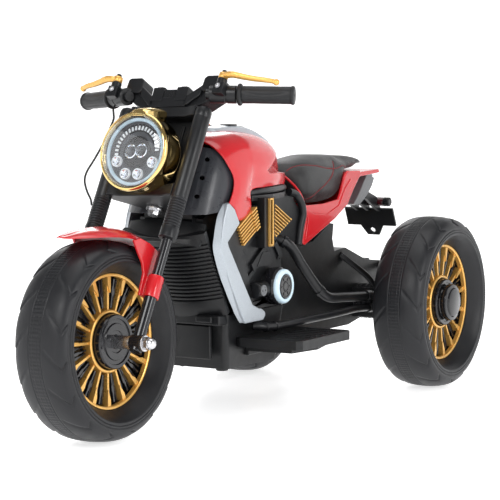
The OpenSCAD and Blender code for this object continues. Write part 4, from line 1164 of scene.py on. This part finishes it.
for side, word in SIDES:
    flank = mirrored(ROW, side)
    stands = ["engine_fins_" + word]
    build("front_fins_" + word, joined(*front_fins), GOLD, "chassis", flank, bevel=0.35,
          stands_for=stands)
    build("rear_fins_" + word, joined(*rear_fins), GOLD, "chassis", flank, bevel=0.35,
          stands_for=stands)
    build("fin_plates_" + word, joined(plate(front_back, 82, 85.8), plate(rear_back, 80, 84.5)),
          SKIN, "chassis", flank, bevel=0.8, stands_for=stands)
    build("post_slot_" + word, joined(*slot_parts), GOLD, "chassis", flank, bevel=0.8,
          stands_for=stands)
    ring_place = flank @ at(0, -11, 205.5)
    ring = lathe([(20.4, 106.4), (27.4, 106.4), (28.2, 108.5), (27.6, 112.4), (25.6, 114.6),
                  (22.6, 115.2), (20.6, 114.2)], 96, closed=True)
    build("blue_ring_" + word, ring, HALO, "chassis", ring_place, smooth=60,
          stands_for=["light_ring_" + word])
    dial = [lathe([(0, 114.2), (6, 114.2), (7, 115.2), (8.2, 115.2), (9, 114), (15.6, 114),
                   (16.6, 115), (18.6, 115), (19.6, 113.4), (19.6, 106.4), (0, 106.4)], 72)]
    dial += [moved(block((113.4, 10.5, -1.2), (115.0, 14.6, 1.2)), turned(60 * k, "X"))
             for k in range(6)]
    dial.append(lathe([(25.2, 90), (30.6, 90), (30.6, 104), (28.6, 106.2), (25.2, 106.2)], 72,
                      closed=True))
    build("dial_" + word, joined(*dial), GLOSS, "chassis", ring_place, bevel=0.4,
          stands_for=["light_ring_" + word])
    # the crankcase's webs, bosses and covers, and the starter barrel with a plain badge
    webs = [moved(block((80, -24, -7), (87, 24, 7)), at(0, -50, 252) @ turned(34, "X")),
            moved(block((80, -18, -4), (85.5, 18, 4)), at(0, -66, 232) @ turned(34, "X")),
            moved(block((80, -16, -5), (86, 16, 5)), at(0, 14, 262) @ turned(-52, "X")),
            plate([(-96, 196), (-84, 172), (18, 172), (30, 196), (26, 186), (-90, 184)], 80, 86),
            plate([(-58, 240), (-40, 262), (-20, 262), (-8, 246), (-20, 238)], 80, 88)]
    web_piece = joined(*webs)
    build("crankcase_webs_" + word, web_piece, BLACK, "chassis", flank, bevel=1.8)
    barrel = moved(lathe_z([(0, -42), (11.2, -42), (12.4, -40.6), (12.4, -30), (11.8, -29),
                            (12.4, -28), (12.4, 4), (0, 4)], 48),
                   at(91, -32, 203) @ turned(-90, "X"))
    build("starter_barrel_" + word, barrel, SATIN, "chassis", flank)
    badge = moved(lathe_z([(0, 0.8), (2.4, 0.8), (3.2, 0.1), (6.0, 0.1), (6.8, 0.9), (8.4, 0.9),
                           (9.0, 0.2), (9.0, -1.5)], 40), at(103.2, -63, 203) @ turned(90, "Y"))
    build("starter_badge_" + word, badge, LAYER_GREY, "chassis", flank)
    case_bolts = [bolt((82.5, y, z), (1, 0, 0), 3.2, 2) for y, z in
                  ((-86, 206), (-60, 180), (10, 180), (26, 216), (-96, 262), (18, 250))]
    build("case_bolts_" + word, joined(*case_bolts), SATIN, "chassis", flank)


# ------------------------------------------------------------------ pipes

UPPER_PIPE = [(69, 34, 279), (80, 42, 273), (88, 54, 262), (89, 84, 234), (91, 118, 204),
              (93, 146, 182), (96, 172, 170), (98, 220, 166), (98, 280, 162), (98, 345, 158)]
LOWER_PIPE = [(84, -66, 145.5), (93, -58, 144.5), (99, -46, 142.5), (101, -10, 141),
              (101, 80, 141), (101, 180, 141), (101, 270, 142), (100, 345, 136)]


def sleeve(route, where, radius, half):
    """A raised joint around a pipe at a share of its route."""
    path = spline(route, 8)
    i = int(where * (len(path) - 2))
    centre, along = Vector(path[i]), Vector(path[i + 1]) - Vector(path[i])
    turn = Vector((0, 0, 1)).rotation_difference(along).to_matrix().to_4x4()
    ring = lathe_z([(radius - 1, -half), (radius, -half + 0.6), (radius, half - 0.6),
                    (radius - 1, half)], 32)
    return moved(ring, at(*centre) @ turn)


for side, word in SIDES:
    flank = mirrored(ROW, side)
    upper = joined(tube(UPPER_PIPE, 8.5, 32, 8), sleeve(UPPER_PIPE, 0.12, 10.2, 4),
                   sleeve(UPPER_PIPE, 0.55, 9.8, 6), sleeve(UPPER_PIPE, 0.95, 10.6, 8))
    lower = joined(tube(LOWER_PIPE, 6.5, 28, 8), sleeve(LOWER_PIPE, 0.28, 8.0, 3),
                   sleeve(LOWER_PIPE, 0.4, 8.0, 3), sleeve(LOWER_PIPE, 0.96, 8.4, 8))
    build("pipe_upper_" + word, upper, SATIN, "chassis", flank, smooth=50,
          stands_for=["exhaust_" + word])
    build("pipe_lower_" + word, lower, SATIN, "chassis", flank, smooth=50,
          stands_for=["exhaust_" + word])


# ------------------------------------------------------------------ seat

SEAT_ROWS = [(142, 22, 368, 376, 385, 2.2), (152, 46, 346, 364, 392, 2.4),
             (168, 58, 331, 352, 399, 2.6), (210, 60.5, 326, 350, 405, 2.6),
             (258, 60.5, 327, 352, 406, 2.6), (290, 58, 334, 360, 405, 2.6),
             (318, 52, 357, 377, 404, 2.5), (350, 42, 380, 387, 402, 2.4),
             (390, 35, 384, 391, 400, 2.3),
             (430, 27, 383, 388, 394, 2.2), (453, 12, 380, 383, 387, 2)]
SEAT_INSET = 2.5        # the pad starts this much smaller, because it swells
SEAT_CAP = 5.0          # how far a point may move as it swells


def seat_shape():
    rings = []
    for y, half, low, mid, high, square in spline(SEAT_ROWS, 5):
        ring = []
        for k in range(56):
            a = 2 * math.pi * k / 56
            c = math.copysign(abs(math.cos(a)) ** (2 / square), math.cos(a))
            s = math.copysign(abs(math.sin(a)) ** (2 / square), math.sin(a))
            reach = (high - mid if s >= 0 else mid - low) - SEAT_INSET * 0.5
            ring.append(((half - SEAT_INSET) * c, y, mid + s * reach))
        rings.append(ring)
    return loft(rings)


def swell(pad, voxel, cap):
    """Blows the pad up a little with a cloth simulation, then keeps the result."""
    bpy.context.view_layer.objects.active = pad
    remesh = pad.modifiers.new("remesh", "REMESH")
    remesh.mode = "VOXEL"
    remesh.voxel_size = voxel
    bpy.ops.object.modifier_apply(modifier=remesh.name)
    rest = [v.co.copy() for v in pad.data.vertices]
    cloth = pad.modifiers.new("cloth", "CLOTH")
    cloth.settings.use_pressure = True
    cloth.settings.uniform_pressure_force = 4
    cloth.settings.tension_stiffness = 20
    cloth.settings.effector_weights.gravity = 0
    for number in range(1, 21):
        bpy.context.scene.frame_set(number)
    soft = pad.evaluated_get(bpy.context.evaluated_depsgraph_get())
    after = [v.co.copy() for v in soft.data.vertices]
    pad.modifiers.remove(cloth)
    for vertex, old, new in zip(pad.data.vertices, rest, after):
        move = new - old
        if move.length > cap:
            move *= cap / move.length
        vertex.co = old + move
    bpy.context.scene.frame_set(1)
    smoothing = pad.modifiers.new("smooth", "SMOOTH")
    smoothing.factor, smoothing.iterations = 0.5, 4
    bpy.ops.object.modifier_apply(modifier=smoothing.name)
    finer = pad.modifiers.new("finer", "SUBSURF")
    finer.levels = finer.render_levels = 1
    bpy.ops.object.modifier_apply(modifier=finer.name)
    pad.data.shade_smooth()


def groove(pad, lines, width, depth):
    """Pulls the skin in along each seam line."""
    paths = [np.array([tuple(p) for p in line]) * MM for line in lines]
    for vertex in pad.data.vertices:
        near = min(np.linalg.norm(path - np.array(vertex.co), axis=1).min() for path in paths)
        if near < 2.5 * width * MM:
            pull = depth * MM * math.exp(-(near / (width * MM)) ** 2)
            vertex.co -= vertex.normal * pull


def on_skin(pad, line, direction, lift):
    """Points of a line carried onto the pad's skin along a direction, and lifted off it."""
    out = []
    for p in line:
        start = Vector(p) * MM - Vector(direction) * 0.12
        hit, place, normal, _ = pad.ray_cast(start, Vector(direction))
        if hit:
            out.append((place + normal * lift * MM) / MM)
    return out


seat = build("seat_cushion", seat_shape(), VINYL, "chassis",
             stands_for=["seat_pad"])
swell(seat, 5 * MM, SEAT_CAP * MM)
SEAM_TOP = [(24, 149, 380), (33, 168, 390), (41, 205, 398), (45, 250, 402), (43, 300, 402),
            (34, 350, 400), (27, 400, 397), (18, 440, 390)]
SEAM_SIDE = [(50, 178, 331), (50, 196, 342), (50, 215, 353), (50, 240, 363), (50, 262, 372),
             (50, 282, 384), (50, 300, 396)]
seams = []
for side in (1, -1):
    seams.append(on_skin(seat, [(side * x, y, z) for x, y, z in spline(SEAM_TOP, 6)],
                         (0, 0, -1), 0))
    seams.append(on_skin(seat, [(side * x, y, z) for x, y, z in spline(SEAM_SIDE, 6)],
                         (-side, 0, 0), 0))
groove(seat, seams, 3.2, 1.3)
stitch_parts = []
for side in (1, -1):
    for line, direction in ((SEAM_TOP, (0, 0, -1)), (SEAM_SIDE, (-side, 0, 0))):
        laid = on_skin(seat, [(side * x, y, z) for x, y, z in spline(line, 5)], direction, 0.35)
        stitch_parts.append(tube(laid, 0.6, 8, 1))
build("seat_piping", joined(*stitch_parts), THREAD, "chassis", smooth=60,
      stands_for=["seat_pad"])


# ------------------------------------------------------------------ cowl and tail

COWL_SIDE = [(136, 330), (146, 303), (141, 290), (133.5, 268), (134, 263), (142, 260), (197, 280),
             (250, 298.5), (297, 321), (328, 356), (350, 373), (343, 379), (298, 380.5),
             (288, 374), (272, 345), (262, 332), (206, 327), (150, 327)]
COWL_RAISED = [(140, 323), (150, 303), (146, 288), (141, 270), (160, 274), (214, 293), (262, 309),
               (288, 326), (316, 358), (306, 366), (284, 350), (262, 322), (216, 308), (170, 312)]
for side, word in SIDES:
    flank = mirrored(ROW, side)
    build("cowl_side_" + word, plate(COWL_SIDE, 60.5, 65.2), RED, "chassis", flank, bevel=1.6,
          stands_for=["seat_cowl"])
    build("cowl_crease_" + word, plate(COWL_RAISED, 64.6, 66.8), RED, "chassis", flank, bevel=1.6,
          stands_for=["seat_cowl"])
    # the thin red edge that runs up the front of the seat, and the black frame tube under it
    lip = tube([(64, 140, 328), (62, 138, 338), (55, 136, 352), (42, 134, 366), (26, 134, 378)],
               2.2, 12, 4)
    build("cowl_lip_" + word, lip, RED, "chassis", flank, smooth=60,
          stands_for=["seat_cowl"])
    rail = tube([(58, 98, 352), (60, 120, 346), (62, 134, 330), (62, 139, 312), (61, 132, 292),
                 (60, 126, 262)], 6.5, 20, 5)
    build("frame_rail_" + word, rail, SATIN, "chassis", flank, smooth=60)
deck_line = [(288, 322), (293, 316), (301, 320), (352, 368), (422, 372), (430, 373), (427, 379),
             (348, 376)]
DECK_HALF = 60.4        # the cowl's deck is this wide to each side
build("cowl_deck",
      joined(plate(deck_line, -DECK_HALF, DECK_HALF),
             block((-DECK_HALF, 146, 318.2), (DECK_HALF, 280, 322))),
      RED, "chassis", bevel=1.2, stands_for=["seat_cowl"])

tail_parts = []
for i in range(3):
    outline = [(434 + 12 * i, 376 - 6 * i), (446 + 12 * i, 373 - 6 * i),
               (436 + 12 * i, 356 - 5 * i), (418 + 13 * i, 340 - 4 * i),
               (404 + 12 * i, 326 - 2 * i), (388 + 12 * i, 314), (374 + 12 * i, 317),
               (390 + 12 * i, 329 - 1.5 * i), (403 + 12 * i, 342 - 3 * i)]
    tail_parts.append(plate(outline, -36 + 3 * i, 36 - 3 * i))
build("tail_layers", joined(*tail_parts), LAYER_GREY, "chassis", bevel=1.4,
      stands_for=["tail_cover"])
LIGHT_Y, LIGHT_Z = 500, 315
bar_place = at(0, LIGHT_Y, LIGHT_Z)
light_tube = moved(lathe([(0, -46), (6.6, -46), (7.9, -44.8), (7.9, 44.8), (6.6, 46), (0, 46)], 40),
                   bar_place)
build("tail_lens", light_tube, RED_LENS, "chassis", smooth=50,
      stands_for=["tail_light"])
light_caps = []
for side in (1, -1):
    cap = lathe([(0, side * 47.6), (6.4, side * 47.6), (8.2, side * 46.2), (8.5, side * 36),
                 (8.0, side * 35), (0, side * 35)], 40)
    light_caps.append(moved(cap, bar_place))
    light_caps.append(moved(block((side * 20 - 2, -8.9, -3), (side * 20 + 2, 8.9, 3)), bar_place))
build("tail_light_caps", joined(*light_caps), SATIN, "chassis", bevel=0.5,
      stands_for=["tail_light"])
dress("plate_bracket", SATIN, 0.8)


# ------------------------------------------------------------------ rear drive details

boot_profile = [(22, 52)]
for k in range(4):
    boot_profile += [(29.4, 53.5 + 8.5 * k), (31.4, 55 + 8.5 * k), (31.4, 58 + 8.5 * k),
                     (29.4, 59.8 + 8.5 * k), (27.6, 61 + 8.5 * k)]
boot_profile += [(22, 88)]
for side, word in SIDES:
    hub = mirrored(ROW, side) @ at(0, 371.5, 144)
    build("drive_boot_" + word, lathe(boot_profile, 72), SATIN, "chassis", hub, smooth=40)
    brace = tube([(46, 470, 206), (60, 455, 200), (84, 425, 186), (96, 398, 166)], 5.5, 20, 5)
    strut = tube([(48, 300, 232), (64, 318, 214), (84, 340, 190), (94, 352, 168)], 5.5, 20, 5)
    build("axle_braces_" + word, joined(brace, strut), SATIN, "chassis", mirrored(ROW, side),
          smooth=60)
spine = [block((-18, 200, 262), (18, 258, 292)), block((-30, 396, 206), (30, 452, 214)),
         block((-24, 274, 238), (24, 320, 246))]
build("housing_ribs", joined(*spine), BLACK, "chassis", bevel=2.2)
